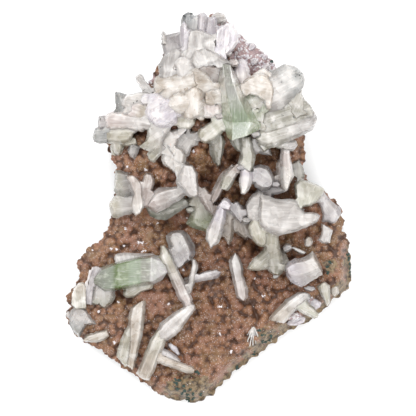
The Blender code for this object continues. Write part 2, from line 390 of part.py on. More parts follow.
SMALL_STUBS = {
    "small_stub_crystal": [
        crystal("small_stub_crystal", (40, -11.4, 24), (40, -15.7, 22.6),
                [(38.4, -15.2), (38.5, -12.6), (39.6, -11.4), (41.2, -11.7), (41.8, -13.6), (41, -15.4), (39.6, -15.8)],
                1.2, 0.4, 0.16)],
    "thin_sliver_crystal": [
        crystal("thin_sliver_crystal", (39.6, -18.2, 21.6), (34, -15.8, 20.6),
                [(34, -15.5), (35.8, -15.9), (38, -17.2), (39.4, -17.7), (38, -18.8), (36, -18.1), (34.3, -16.8)],
                1.0, 0.4, 0.1)],
    "lilac_stub_crystal": [
        crystal("lilac_stub_crystal", (33.4, -15.6, 22), (29.6, -17, 21),
                [(29.6, -15.8), (31, -14.1), (33, -14.6), (33.7, -16.2), (32, -17.7), (30, -17.9)], 1.2, 0.4, 0.2)],
    "white_stub_crystal": [
        crystal("white_stub_crystal", (47, -6, 25.5), (46.4, -14.2, 23.5),
                [(45, -6), (48, -7.4), (49.7, -9), (49.2, -11), (48.6, -14), (46, -14.3), (43.6, -13), (45.2, -10.4)],
                1.8, 0.4, 0.12)],
}

ZIGZAG_BLADES = [
    crystal("first_zigzag_blade", (-18.6, -15, 22), (-8.4, -38.4, 23),
            [(-19.4, -15.2), (-17.6, -14.8), (-15, -18.6), (-12, -25), (-8.4, -32), (-6.2, -36.6), (-7, -38.6),
             (-9.8, -38.8), (-11.8, -37), (-15, -29.4), (-18.2, -22), (-19.3, -18.6)], 2.2, 0.46, 0.03, 0.15),
    crystal("thin_cross_blade", (-5.9, -20.4, 23), (-7.6, -34, 22),
            [(-6.6, -20.6), (-5.2, -20.4), (-4, -23), (-4.8, -27), (-5.8, -31), (-6.8, -34.2), (-8.9, -32),
             (-8.2, -28.6), (-7, -24.6)], 1.8, 0.5, 0.04),
    crystal("thin_lilac_blade", (-5.8, -28.8, 21.5), (5.2, -26, 22),
            [(-5.4, -27.6), (-3, -25.8), (1, -24.7), (3.6, -24.5), (5.4, -26), (3.6, -28.2), (0, -28.9), (-5.8, -30)],
            1.8, 0.5, 0.06, 0.2),
    crystal("second_zigzag_blade", (-6.6, -38.8, 23.5), (-19.4, -51, 22.5),
            [(-9.6, -39.2), (-7.4, -37.8), (-5.2, -38.8), (-5.2, -40.6), (-7, -43), (-11, -49), (-14, -51.6),
             (-16.6, -53.2), (-19.4, -52.6), (-20.8, -49.4), (-19.4, -46), (-14.4, -42.2)], 2.4, 0.4, 0.05),
    crystal("third_zigzag_blade", (-18.8, -49, 22.5), (-25.6, -68.8, 20),
            [(-20.6, -48.6), (-17.4, -50.6), (-16.8, -53.4), (-19.2, -59), (-20.4, -62), (-21.6, -65.6),
             (-24, -69.3), (-26.6, -68.6), (-29.2, -66.4), (-26.6, -61), (-25.4, -57), (-22.6, -51.6)],
            2.2, 0.4, 0.05),
    crystal("cream_lower_blade", (-21, -59.4, 20.5), (-5.6, -65.4, 19.5),
            [(-21.4, -58.2), (-18.4, -58.4), (-14, -60.6), (-6.4, -63.4), (-5.1, -64.6), (-5.8, -66.3), (-8, -66.5),
             (-12, -65.2), (-19.6, -62.4)], 2, 0.5, 0.05, 0.1),
    crystal("upper_side_blade", (-19, -57, 20), (-11.4, -61, 19),
            [(-19, -56), (-16, -57), (-12.6, -59.2), (-11, -61.3), (-14, -60.8), (-18.8, -58.8)], 1.4, 0.4, 0.05),
]

CORNER_CRYSTALS = [
    crystal("grey_block_crystal", (-51, -41, 21), (-52, -29.5, 21),
            [(-54.9, -35), (-54, -32), (-52, -30), (-50.2, -29.5), (-48.9, -31), (-48.8, -35), (-48.8, -40.6),
             (-53, -41), (-54.9, -38.8)], 2.4, 0.26, 0.16),
    crystal("blue_white_crystal", (-49, -42, 20.5), (-53, -50.5, 18.5),
            [(-53.8, -39.8), (-51, -39.6), (-48.8, -41), (-47.2, -43.4), (-44.7, -46.6), (-49, -47), (-50.6, -50),
             (-51.6, -52.1), (-54, -50), (-55.5, -47.4), (-56, -44), (-55.2, -41.2)], 2.4, 0.34, 0.16),
]

SINGLE_CRYSTALS = {
    "pale_lilac_blade": [
        crystal("pale_lilac_blade", (14.4, 49, 41), (13, 59.4, 38),
                [(13.2, 49), (10, 56), (10.6, 58), (12.1, 59.2), (13.8, 59.4), (15.2, 58.2), (16.8, 53.5),
                 (16.6, 49)], 1.8, 0.4)],
    "grey_finger_blade": [
        crystal("grey_finger_blade", (-22.6, 45.4, 34), (-28.6, 53.4, 31),
                [(-22.4, 45), (-22.4, 47.8), (-25.4, 51), (-26.4, 53.2), (-27.4, 53.7), (-29.4, 52.2),
                 (-28.8, 50.8), (-26.2, 46.2)], 2, 0.4, 0.1)],
    "small_corner_blade": [
        crystal("small_corner_blade", (-41, -50, 18.5), (-50.6, -53, 18),
                [(-50.7, -53.6), (-49, -50.6), (-44, -49.4), (-40.6, -48.5), (-39.7, -51.4), (-42, -53.1),
                 (-45, -54.1)], 1.8, 0.44, 0.08)],
    "clear_grey_crystal": [
        crystal("clear_grey_crystal", (-13.4, -9.8, 21), (-9, -22.4, 19),
                [(-17.3, -11.2), (-15.4, -9.6), (-12, -8.7), (-10, -8.8), (-8.4, -10.2), (-6.8, -12.6), (-5.4, -15.6),
                 (-5.2, -18.4), (-6.6, -20.6), (-9.6, -22.6), (-11.4, -24.5), (-13.6, -22.4), (-15.8, -16.4)],
                2.8, 0.44, 0.14, 0.1)],
    "isolated_blade": [
        crystal("isolated_blade", (10.6, -18, 20.5), (13.6, -37.2, 22),
                [(10.8, -17.6), (9, -19.4), (8.1, -21.4), (8.5, -24), (10, -30.4), (11.2, -35.8), (13.6, -37.3),
                 (14.8, -37.3), (16, -35.4), (16, -33.4), (14, -27), (13.8, -23), (12.6, -19.8)], 2.4, 0.42, 0.05)],
    "long_blade_pair": [
        crystal("long_blade", (-28.4, -38, 21.5), (-31.2, -64.6, 19.5),
                [(-31, -39.6), (-28.4, -38), (-25, -36.9), (-25.4, -43), (-26, -49), (-28.6, -59.6), (-30.2, -65.1),
                 (-32.8, -63.2), (-31.8, -56), (-31.8, -50), (-32.3, -44)], 2.4, 0.42, 0.03, -0.1),
        crystal("long_blade_side", (-31.6, -47, 20), (-35.4, -61.4, 18),
                [(-32.4, -47), (-30.6, -50), (-30.8, -58), (-31.4, -63), (-33.6, -63.8), (-37, -59.4), (-36.4, -56.4),
                 (-35, -52)], 1.8, 0.42, 0.06)],
    "striated_sheaf": [
        crystal("striated_sheaf", (39, -34.6, 22), (27.4, -45.4, 20.5),
                [(36, -33.6), (38.6, -33.6), (40.8, -34.6), (41, -36), (36, -39.9), (31.8, -44.6), (30.2, -46.3),
                 (27.2, -45.8), (24, -44.8), (25.2, -42.6), (31, -36.6)], 2.6, 0.42, 0.06),
        crystal("crossing_green_blade", (36.2, -39.6, 21), (43.6, -43.4, 20),
                [(34.6, -40), (37, -37.2), (39.6, -37.5), (41.8, -39.4), (44.4, -42.2), (44.1, -43.8), (42.6, -44.5),
                 (39.6, -43.2), (36.6, -41.8)], 2, 0.46, 0.06)],
    "edge_blade": [
        crystal("edge_blade", (46, -30, 20), (47.8, -39, 18),
                [(46.6, -29.5), (48.6, -31), (49, -34), (48.8, -38.2), (47.3, -39.6), (45, -34.6), (43.4, -31.6),
                 (44.6, -30.4)], 1.8, 0.44, 0.06)],
    "pearly_side_crystals": [
        crystal("green_white_under_crystal", (-42, -31, 20), (-42, -40, 18),
                [(-46.4, -30.6), (-38, -31), (-37.2, -35.6), (-38.6, -38.2), (-41.6, -40.3), (-43.4, -39.6),
                 (-44.6, -38.4), (-46, -39.2), (-47.2, -36)], 2, 0.36, 0.1),
        crystal("pearly_sliver", (-47.6, -38, 19), (-45, -23.6, 21),
                [(-46.7, -23.6), (-44, -23.2), (-43, -25.4), (-45, -27.4), (-46, -33), (-46.4, -39), (-48.2, -38.8),
                 (-48.5, -34.4), (-48.4, -29)], 1.8, 0.4, 0.04)],
    "crystal_behind_prism": [
        crystal("crystal_behind_prism", (-29, -20.6, 19.5), (-29, -18, 19),
                [(-38, -20), (-37.4, -18.4), (-34, -17.8), (-28, -18.1), (-21.5, -18.2), (-21, -21), (-30, -23),
                 (-37, -24)], 1.6, 0.1, 0.4)],
    "crystal_below_prism": [
        crystal("crystal_below_prism", (-24, -31, 18.6), (-32, -35.4, 18),
                [(-34.5, -34.8), (-33, -30), (-21.6, -29.6), (-22.4, -32.4), (-27, -33.7), (-30, -36.1), (-33, -36)],
                1.8, 0.3, 0.2)],
}

# Each node's name, its crystals and its finish, in the order in which they keep their full form:
# a later one gives way where it would run into an earlier one.
NODES = [
    ("upper_green_apophyllite", UPPER_GREEN_PRISM, "green"),
    ("lower_green_apophyllite", LOWER_GREEN_PRISM, "green"),
    ("upper_stilbite_cluster", UPPER_CLUSTER, "cream"),
    ("right_stilbite_fans", RIGHT_FANS, "cream"),
    ("middle_stilbite_cluster", MIDDLE_CLUSTER, "white"),
    ("cream_green_lobe", GREEN_LOBE_CRYSTALS, "cream"),
    ("curved_stilbite_fan", CURVED_FAN, "white"),
    ("left_stilbite_cluster", LEFT_CLUSTER, "grey"),
    ("small_grey_blade", SMALL_GREY_BLADE, "grey"),
    ("long_left_blade", LONG_LEFT_BLADE, "lilac"),
    ("left_edge_crystals", LEFT_EDGE_CRYSTALS, "white"),
    ("central_blades", CENTRAL_BLADES, "white"),
    ("white_bow_tie", WHITE_BOW_TIE, "white"),
    ("long_white_blade", LONG_WHITE_BLADE, "white"),
    ("right_edge_crystals", RIGHT_EDGE_CRYSTALS, "white"),
    ("white_block_crystal", WHITE_BLOCK, "lilac"),
    ("zigzag_blades", ZIGZAG_BLADES, "cream"),
    ("corner_crystals", CORNER_CRYSTALS, "grey"),
]
NODES += [(name, crystals, "white") for name, crystals in SMALL_STUBS.items()]
NODES += [(name, crystals, "white") for name, crystals in SINGLE_CRYSTALS.items()]

FINISHES = {
    "rock": ((0.34, 0.18, 0.11), 0.55),
    "green": ((0.42, 0.56, 0.32), 0.12),
    "white": ((0.78, 0.76, 0.70), 0.3),
    "cream": ((0.76, 0.70, 0.60), 0.35),
    "lilac": ((0.76, 0.70, 0.76), 0.28),
    "grey": ((0.62, 0.60, 0.56), 0.3),
}


def clear_scene():
    for obj in list(bpy.data.objects):
        bpy.data.objects.remove(obj, do_unlink=True)


def make_finish(name):
    colour, roughness = FINISHES[name]
    material = bpy.data.materials.new(name)
    material.use_nodes = True
    shader = material.node_tree.nodes["Principled BSDF"]
    shader.inputs["Base Color"].default_value = (*colour, 1.0)
    shader.inputs["Roughness"].default_value = roughness
    shader.inputs["Metallic"].default_value = 0.0
    return material


def smooth_step(low, high, value):
    share = min(1.0, max(0.0, (value - low) / (high - low)))
    return share * share * (3.0 - 2.0 * share)


def bell(x, y, place, spread):
    return math.exp(-((x - place[0]) / spread[0]) ** 2 - ((y - place[1]) / spread[1]) ** 2)


def rock_height(x, y):
    """Height of the rock before its rim, its lumps and its hollows."""
    blend = smooth_step(*STEP_CHANGE, x)
    middle = STEP_MIDDLE[0] + (STEP_MIDDLE[1] - STEP_MIDDLE[0]) * blend
    half_width = STEP_HALF[0] + (STEP_HALF[1] - STEP_HALF[0]) * blend
    height = SLAB_TOP + STEP_RISE * smooth_step(middle - half_width, middle + half_width, y)
    height += MOUND_RISE * bell(x, y, MOUND_PLACE, MOUND_SPREAD)
    return height + RIGHT_RISE * bell(x, y, RIGHT_PLACE, RIGHT_SPREAD)


def worn_height(x, y):
    """Height of the rock with its rim rounded down and its lower right rim broken away."""
    rim_distance = distance_to_outline(x, y, RIM)
    broken = smooth_step(0.0, BREAK_FADE, Vector((x, y)).dot(BREAK_SIDE) - BREAK_START)
    height = rock_height(x, y)
    height -= EDGE_DROP * (1.0 - smooth_step(0.0, EDGE_BAND, rim_distance))
    return height - BREAK_DROP * broken * (1.0 - smooth_step(0.0, BREAK_BAND, rim_distance))


def signed_area(points):
    following = points[1:] + points[:1]
    return 0.5 * sum(a[0] * b[1] - b[0] * a[1] for a, b in zip(points, following))


def counter_clockwise(points):
    return points if signed_area(points) > 0 else points[::-1]


def resample(points, step):
    """Points along a closed outline, about one step apart, keeping its corners."""
    result = []
    for start, stop in zip(points, points[1:] + points[:1]):
        count = max(1, round(math.dist(start, stop) / step))
        result += [tuple(Vector(start).lerp(Vector(stop), i / count)) for i in range(count)]
    return result


def distance_to_outline(x, y, points):
    point = Vector((x, y))
    best = 1e9
    for start, stop in zip(points, points[1:] + points[:1]):
        near, share = geometry.intersect_point_line(point, Vector(start), Vector(stop))
        near = Vector(start).lerp(Vector(stop), min(1.0, max(0.0, share)))
        best = min(best, (point - near.to_2d()).length)
    return best


def inside(x, y, points):
    result = False
    for (x0, y0), (x1, y1) in zip(points, points[1:] + points[:1]):
        if (y0 > y) != (y1 > y) and x < x0 + (x1 - x0) * (y - y0) / (y1 - y0):
            result = not result
    return result


def jittered_lattice(spacing, jitter, seed):
    """Points of a hexagonal lattice over the whole piece, each moved a little."""
    draw = random.Random(seed)
    xs = [point[0] for point in RIM]
    ys = [point[1] for point in RIM]
    points = []
    row = 0
    y = min(ys)
    while y < max(ys):
        x = min(xs) + (spacing / 2 if row % 2 else 0.0)
        while x < max(xs):
            points.append((x + draw.uniform(-jitter, jitter), y + draw.uniform(-jitter, jitter)))
            x += spacing
        y += spacing * math.sqrt(0.75)
        row += 1
    return points


def make_lumps():
    """Centres, radii and heights of the crust's round lumps."""
    draw = random.Random(LUMP_SIZE_SEED)
    lumps = []
    for x, y in jittered_lattice(LUMP_SPACING, LUMP_JITTER, LUMP_SEED):
        radius = draw.uniform(*LUMP_RADIUS)
        lumps.append((x, y, radius, radius * LUMP_HEIGHT))
    return lumps + KNOBS


def dome(x, y, lump):
    distance = math.hypot(x - lump[0], y - lump[1]) / lump[2]
    return lump[3] * math.sqrt(1.0 - distance * distance) if distance < 1.0 else 0.0


def crust_height(x, y, lumps):
    """Height of the crust's surface before crystals press into it."""
    height = worn_height(x, y)
    for px, py, radius, depth in PITS:
        height -= depth * bell(x, y, (px, py), (radius, radius))
    return height + max(dome(x, y, lump) for lump in lumps)


def simplified(points):
    """The outline without the points that hardly bend it."""
    points = [Vector(p) for p in points]
    while len(points) > LEAST_POINTS:
        bends = []
        for i, point in enumerate(points):
            before = points[i - 1]
            after = points[(i + 1) % len(points)]
            near = geometry.intersect_point_line(point, before, after)[0].to_2d()
            bends.append((point - near).length)
        least = min(bends)
        if least > LEAST_BEND:
            break
        del points[bends.index(least)]
    return points


def mid_height(spec, x, y):
    """Height of a crystal's middle plane at a point."""
    root = Vector(spec["root"][:2])
    along = Vector(spec["tip"][:2]) - root
    length = along.length
    along.normalize()
    offset = Vector((x, y)) - root
    rise = (spec["tip"][2] - spec["root"][2]) * offset.dot(along) / length
    across = Vector((-along.y, along.x))
    return spec["root"][2] + rise + spec["roll"] * offset.dot(across)


def squeezed(spec, points, side, end, shift):
    """The outline drawn in towards the crystal's long axis."""
    along = (Vector(spec["tip"][:2]) - Vector(spec["root"][:2])).normalized()
    across = Vector((-along.y, along.x))
    centre = sum(points, Vector((0.0, 0.0))) / len(points)
    reach = max(abs((p - centre).dot(across)) for p in points)
    result = []
    for p in points:
        offset = p - centre
        moved = centre + along * offset.dot(along) * end
        result.append(moved + across * (offset.dot(across) * side + shift * reach))
    return result


def crystal_rings(spec):
    """The rings of one crystal: its underside, its widest outline and its top face."""
    outline = simplified(counter_clockwise(spec["outline"]))
    centre = sum(outline, Vector((0.0, 0.0))) / len(outline)
    top = squeezed(spec, outline, 1.0 - spec["side"], 1.0 - spec["end"], spec["ridge"] * spec["side"])
    level = mid_height(spec, centre.x, centre.y)
    down = max(spec["up"], level - worn_height(centre.x, centre.y) + SEAT)
    tall = smooth_step(TALL[0], TALL[1], down)
    foot = squeezed(spec, outline, FOOT_SIDE, FOOT_END[0] + (FOOT_END[1] - FOOT_END[0]) * tall, 0.0)
    back = (Vector(spec["root"][:2]) - Vector(spec["tip"][:2])) * LEAN * tall
    foot = [p + back for p in foot]
    return [
        [(p[0], p[1], mid_height(spec, p[0], p[1]) - down) for p in foot],
        [(p[0], p[1], mid_height(spec, p[0], p[1])) for p in outline],
        [(p[0], p[1], mid_height(spec, p[0], p[1]) + spec["up"]) for p in top],
    ]


def solid_mesh(spec, grow=0.0):
    """A closed mesh of one crystal, through rings that have the same number of points.

    grow moves every face out by that much, for the pocket that a neighbour needs.
    """
    rings = spec.get("sections") or crystal_rings(spec)
    bm = bmesh.new()
    loops = [[bm.verts.new(Vector(p) * MM) for p in ring] for ring in rings]
    count = len(loops[0])
    for lower, upper in zip(loops, loops[1:]):
        for i in range(count):
            j = (i + 1) % count
            bm.faces.new((lower[i], lower[j], upper[j], upper[i]))
    bm.faces.new(loops[0][::-1])
    bm.faces.new(loops[-1])
    bmesh.ops.triangulate(bm, faces=bm.faces[:])
    bmesh.ops.recalc_face_normals(bm, faces=bm.faces[:])
    offsets = [v.normal * min(v.calc_shell_factor(), SHARPEST_SHELL) * grow * MM for v in bm.verts]
    for vertex, offset in zip(bm.verts, offsets):
        vertex.co += offset
    mesh = bpy.data.meshes.new(spec["name"])
    bm.to_mesh(mesh)
    bm.free()
    return mesh


def add_object(name, mesh):
    obj = bpy.data.objects.new(name, mesh)
    bpy.context.scene.collection.objects.link(obj)
    return obj


def combine(mesh, others, operation):
    """Join a mesh with others or cut them out of it, in one exact Boolean."""
    base = add_object("base", mesh)
    operands = bpy.data.collections.new("operands")
    bpy.context.scene.collection.children.link(operands)
    helpers = [bpy.data.objects.new("operand", other) for other in others]
    for helper in helpers:
        operands.objects.link(helper)
    modifier = base.modifiers.new("combine", "BOOLEAN")
    modifier.operand_type = "COLLECTION"
    modifier.collection = operands
    modifier.operation = operation
    modifier.solver = "EXACT"
    depsgraph = bpy.context.evaluated_depsgraph_get()
    result = bpy.data.meshes.new_from_object(base.evaluated_get(depsgraph))
    for obj in [base] + helpers:
        bpy.data.objects.remove(obj, do_unlink=True)
    bpy.data.collections.remove(operands)
    return result


def merge_close_points(mesh):
    bm = bmesh.new()
    bm.from_mesh(mesh)
    bmesh.ops.remove_doubles(bm, verts=bm.verts[:], dist=SMALLEST_EDGE * MM)
    bmesh.ops.dissolve_degenerate(bm, edges=bm.edges[:], dist=SMALLEST_EDGE * MM)
    bmesh.ops.dissolve_limit(bm, angle_limit=FLAT_ANGLE, verts=bm.verts[:], edges=bm.edges[:])
    bmesh.ops.triangulate(bm, faces=bm.faces[:])
    bm.to_mesh(mesh)
    bm.free()
    return mesh


def largest_body(mesh):
    """The mesh without the splinters that a cut has parted from it."""
    bm = bmesh.new()
    bm.from_mesh(mesh)
    parts = []
    waiting = set(bm.verts)
    while waiting:
        part = set()
        border = [waiting.pop()]
        while border:
            vertex = border.pop()
            part.add(vertex)
            for edge in vertex.link_edges:
                other = edge.other_vert(vertex)
                if other in waiting:
                    waiting.remove(other)
                    border.append(other)
        parts.append(part)
    largest = max(parts, key=len)
    bmesh.ops.delete(bm, geom=[v for v in bm.verts if v not in largest], context="VERTS")
    bm.to_mesh(mesh)
    bm.free()
    return mesh


def bounds(mesh):
    low = [min(v.co[i] for v in mesh.vertices) for i in range(3)]
    high = [max(v.co[i] for v in mesh.vertices) for i in range(3)]
    return low, high


def boxes_meet(first, second):
    return all(first[0][i] <= second[1][i] and second[0][i] <= first[1][i] for i in range(3))


def build_node_mesh(crystals, earlier):
    """One solid of the crystals, clear of every crystal of the earlier nodes."""
    meshes = [solid_mesh(spec) for spec in crystals]
    result = combine(meshes[0], meshes[1:], "UNION") if len(meshes) > 1 else meshes[0]
    result = merge_close_points(result)
    extent = bounds(result)
    pockets = [mesh for mesh, box in earlier if boxes_meet(extent, box)]
    if pockets:
        result = merge_close_points(combine(result, pockets, "DIFFERENCE"))
    return largest_body(result)


def lowest_crystal(tree, x, y, reach):
    """The lowest crystal surface within reach of a point, or None."""
    lowest = None
    samples = [(0.0, 0.0)]
    for ring in LOOK_RINGS:
        for i in range(LOOK_COUNT):
            angle = math.tau * i / LOOK_COUNT
            samples.append((reach * ring * math.cos(angle), reach * ring * math.sin(angle)))
    for dx, dy in samples:
        origin = Vector(((x + dx) * MM, (y + dy) * MM, -1.0))
        hit = tree.ray_cast(origin, Vector((0.0, 0.0, 1.0)))[0]
        if hit is not None:
            lowest = hit.z / MM if lowest is None else min(lowest, hit.z / MM)
    return lowest


def press_clear(bm, pocket_tree):
    """Lower every facet that still meets a crystal's pocket, a little at a time."""
    touching = True
    while touching:
        bm.faces.ensure_lookup_table()
        touching = {pair[0] for pair in BVHTree.FromBMesh(bm).overlap(pocket_tree)}
        pressed = {vertex for index in touching for vertex in bm.faces[index].verts}
        for vertex in pressed:
            vertex.co.z -= GAP * MM


def build_matrix_mesh(crystal_tree, pocket_tree):
    """The rock: lumpy crust on top, broken sides and a flat back."""
    rim = counter_clockwise(resample(RIM, RIM_STEP))
    lumps = make_lumps()
    points = list(rim)
    for x, y in jittered_lattice(GRID, GRID_JITTER, GRID_SEED):
        if inside(x, y, rim) and distance_to_outline(x, y, rim) > RIM_CLEARANCE:
            points.append((x, y))
    rim_edges = [(i, (i + 1) % len(rim)) for i in range(len(rim))]
    flat = geometry.delaunay_2d_cdt([Vector(p) for p in points], rim_edges, [], 1, CLOSE_ENOUGH)
    corners, triangles = flat[0], flat[2]
    source = [origins[0] for origins in flat[3]]

    bm = bmesh.new()
    top = []
    for corner in corners:
        height = crust_height(corner.x, corner.y, lumps)
        lowest = lowest_crystal(crystal_tree, corner.x, corner.y, GRID)
        if lowest is not None:
            height = min(height, lowest - GAP)
        top.append(bm.verts.new(Vector((corner.x, corner.y, height)) * MM))
    for triangle in triangles:
        bm.faces.new([top[i] for i in triangle])
    press_clear(bm, pocket_tree)

    rim_top = [None] * len(rim)
    for vertex, index in zip(top, source):
        if index < len(rim):
            rim_top[index] = vertex
    middle = [bm.verts.new((v.co.x * SIDE_BULGE, v.co.y * SIDE_BULGE, v.co.z * SIDE_LEVEL)) for v in rim_top]
    back = [bm.verts.new((v.co.x * BACK_SCALE, v.co.y * BACK_SCALE, 0.0)) for v in rim_top]
    for upper, lower in ((rim_top, middle), (middle, back)):
        for i in range(len(rim)):
            j = (i + 1) % len(rim)
            bm.faces.new((upper[j], upper[i], lower[i], lower[j]))
    bm.faces.new(back[::-1])
    bmesh.ops.triangulate(bm, faces=bm.faces[:])
    bmesh.ops.recalc_face_normals(bm, faces=bm.faces[:])
    mesh = bpy.data.meshes.new("matrix")
    bm.to_mesh(mesh)
    bm.free()
    return mesh


def tree_of(meshes):
    vertices = []
    faces = []
    for mesh in meshes:
        start = len(vertices)
        vertices += [v.co.copy() for v in mesh.vertices]
        faces += [[start + i for i in polygon.vertices] for polygon in mesh.polygons]
    return BVHTree.FromPolygons(vertices, faces)


def main():
    clear_scene()
    finishes = {name: make_finish(name) for name in FINISHES}
    built = []
    earlier = []
    for name, crystals, finish in NODES:
        mesh = build_node_mesh(crystals, earlier)
        mesh.name = name
        mesh.materials.clear()
        mesh.materials.append(finishes[finish])
        add_object(name, mesh)
        built.append(mesh)
        for spec in crystals:
            pocket = solid_mesh(spec, GAP)
            earlier.append((pocket, bounds(pocket)))
    matrix = build_matrix_mesh(tree_of(built), tree_of([pocket for pocket, box in earlier]))
    matrix.materials.append(finishes["rock"])
    add_object("matrix", matrix)


main()
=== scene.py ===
"""The looks of a cluster of green apophyllite and white stilbite on crusted basalt.

Every crystal is made again from the outline that its solid has, with rounded edges, stacked
plates, splitting ends and striations. The rock gets its botryoidal crust and its broken sides.
The tables are in millimetres, in the solids' own frame: +Z up, the flat back at z = 0.
"""
import math
import random

import bpy
import numpy as np
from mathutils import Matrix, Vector, geometry
from mathutils.bvhtree import BVHTree


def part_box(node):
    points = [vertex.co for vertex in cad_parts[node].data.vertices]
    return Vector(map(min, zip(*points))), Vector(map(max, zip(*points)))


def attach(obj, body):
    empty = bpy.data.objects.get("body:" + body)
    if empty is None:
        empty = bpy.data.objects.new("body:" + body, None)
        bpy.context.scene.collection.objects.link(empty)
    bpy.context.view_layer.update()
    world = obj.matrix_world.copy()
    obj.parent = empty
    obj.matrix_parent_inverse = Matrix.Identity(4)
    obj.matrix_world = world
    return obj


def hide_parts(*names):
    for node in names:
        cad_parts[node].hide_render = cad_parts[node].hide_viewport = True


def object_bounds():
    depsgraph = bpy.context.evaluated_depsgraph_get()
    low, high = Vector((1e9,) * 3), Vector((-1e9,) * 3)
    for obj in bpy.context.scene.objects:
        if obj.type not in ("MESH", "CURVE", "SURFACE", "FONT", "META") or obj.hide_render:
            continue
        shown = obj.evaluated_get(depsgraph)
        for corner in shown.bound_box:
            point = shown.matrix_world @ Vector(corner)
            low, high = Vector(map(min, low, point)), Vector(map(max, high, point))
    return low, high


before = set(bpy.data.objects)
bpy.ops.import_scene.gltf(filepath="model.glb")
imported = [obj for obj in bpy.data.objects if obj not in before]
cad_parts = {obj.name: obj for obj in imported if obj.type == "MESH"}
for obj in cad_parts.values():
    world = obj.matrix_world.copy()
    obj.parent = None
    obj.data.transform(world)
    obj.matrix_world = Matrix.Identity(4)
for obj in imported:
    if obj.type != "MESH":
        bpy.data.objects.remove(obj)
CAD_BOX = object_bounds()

MM = 0.001

# Camera, straight above
VIEW_PLACE = (-0.0002, 0.0, 2.525)
VIEW_SENSOR = 36.0
VIEW_LENS = 541.0

# Rock, with the same driving sizes as the solid
SLAB_TOP = 16.0
STEP_RISE = 9.0
MOUND_RISE = 10.0
MOUND_PLACE = (-2.0, 42.0)
MOUND_SPREAD = (26.0, 24.0)
STEP_WIDENS = (8.0, 24.0)        # the step widens between these places from left to right
STEP_PLACE = -1.0                # its middle, at the left
STEP_SHIFT = 1.0                 # how much lower its middle is at the right
STEP_HALF = 3.0                  # half its width, at the left
STEP_GROWTH = 19.0               # and how much more that is at the right
RIGHT_RISE = 3.0
RIGHT_PLACE = (38.0, -2.0)
RIGHT_SPREAD = (12.0, 10.0)
EDGE_DROP = 3.0          # how much lower the rim is
EDGE_BAND = 4.0          # and how wide the slope to it is
BREAK_DROP = 6.0         # how much lower the rim is on its broken side
BREAK_BAND = 6.5         # and how wide the slope is there
BREAK_SIDE = (0.62, -0.78)       # the way in which the broken side lies
BREAK_START = 40.0       # how far that way it starts
BREAK_FADE = 12.0        # and how much further it is fully broken
BACK_SCALE = 0.955       # plan scale of the flat back
SIDE_BULGE = 0.985       # plan scale half way down the sides

# Crust. Lumps have their spacing, jitter, two seeds, radii and height per radius
ROCK_GRID = 0.45         # distance between the points of the crust's surface
GRID_JITTER = 0.22       # how far they are moved, next to that distance
BIG_LUMPS = (5.0, 1.1, (5, 11), (2.6, 3.9), 0.45)
SMALL_LUMPS = (3.0, 0.9, (21, 12), (1.4, 2.5), 0.52)
GRAINS = (1.2, 0.4, (8, 13), (0.5, 0.9), 0.26)
GRAIN_SHARE = 0.4        # how much of their height the grains keep
CRUST_SINK = 0.7         # how far the crust lies below the worn rock between its lumps
LUMP_ROUNDNESS = 0.7     # lower is steeper at the foot of each lump
UNDER_CRYSTAL = 1.2      # the crust stays this far below a crystal's top face
LEAST_HEIGHT = 2.0       # and at least this far above the back
SIDE_ROWS = 18           # rings of points from the rim down to the back
SIDE_CREASE = 0.35       # how deep in a crease the sides count as, which gives them part of the painted crease shade
BACK_INSET = 0.4         # how far the back's edge is drawn in
RIM_SCALLOP = 0.5        # how far the crust's beads stand in and out of the rim
RIM_BEAD = 3.1           # and how wide they are
RIM_WAVE = 0.4           # longer waves in the rim

# Crystals
OUTLINE_STEP = 0.42      # distance between the points of a crystal's outline
RING_STEP = 0.5          # between the rings on its top
FOOT_STEP = 1.6          # and between those of its foot
SEAT = 1.6               # how far its foot goes into the rock
TALL = (3.0, 12.0)       # depths of foot that count as low and as tall
FOOT_SIDE = 0.6          # the foot's width at its bottom, next to the crystal's
FOOT_END = (0.8, 0.5)    # and its length there, under a low and a tall crystal
LEAN = 0.3               # how far a tall foot lies back, next to the crystal's length
LAST_RING = 0.96         # how far the last ring on the top is drawn in to the middle
FLARE = 0.8              # how far striations spread at the root, next to the tip
FOOT_EDGE = 0.9          # how thin and clear the foot is under the outline, where 1 is an edge; it also greys the foot with painted shade
FOOT_FADE = 0.3          # and how much less that is at its bottom
BEVEL_FADE = 0.65        # how much less it is at the inner side of the bevel
TOP_EDGE = 0.35          # and what it is where the top begins
GRAIN_EDGE = 0.3         # and on small grains
TUCKS = (0.8, 1.6, 2.4, 3.2)     # steps in which a crystal reaches under a higher neighbour
PRISM_TUCK = 1.8         # and how far it may reach under a green prism
LEAST_COVER = 0.2        # how much higher a neighbour has to be
PRISM_FOOT_SHADE = 0.75        # painted shade: how dark a prism's foot is
PRISM_TOP_HIGHLIGHT = 1.12         # painted highlight: how bright its top edges are
PRISM_BLUNT = 0.05       # how far its edges are cut
PRISM_STEP = 0.7         # distance between its points
FOOT_SHADE_TINT = (0.66, 0.52, 0.43)   # the rock's colour as it shows through a crystal's foot, and painted shade there
COMPANIONS = 2           # smaller blades beside each crystal of a crowd
CROWDS = ("upper_stilbite_cluster", "left_stilbite_cluster", "right_stilbite_fans")
BRIDGED = 2              # steps of open gap that a crystal of a crowd closes under its neighbour

# Floor and light
FLOOR_HALF = 3.0
FLOOR_DROP = 0.0002      # the floor lies this far below the flat back
ROOM_STRENGTH = 1.05
LIGHTS = [               # name, place, size and watts
    ("key", (-0.26, 0.36, 1.05), 0.9, 9.0),
    ("fill", (0.45, -0.3, 1.1), 0.9, 6.0),
]

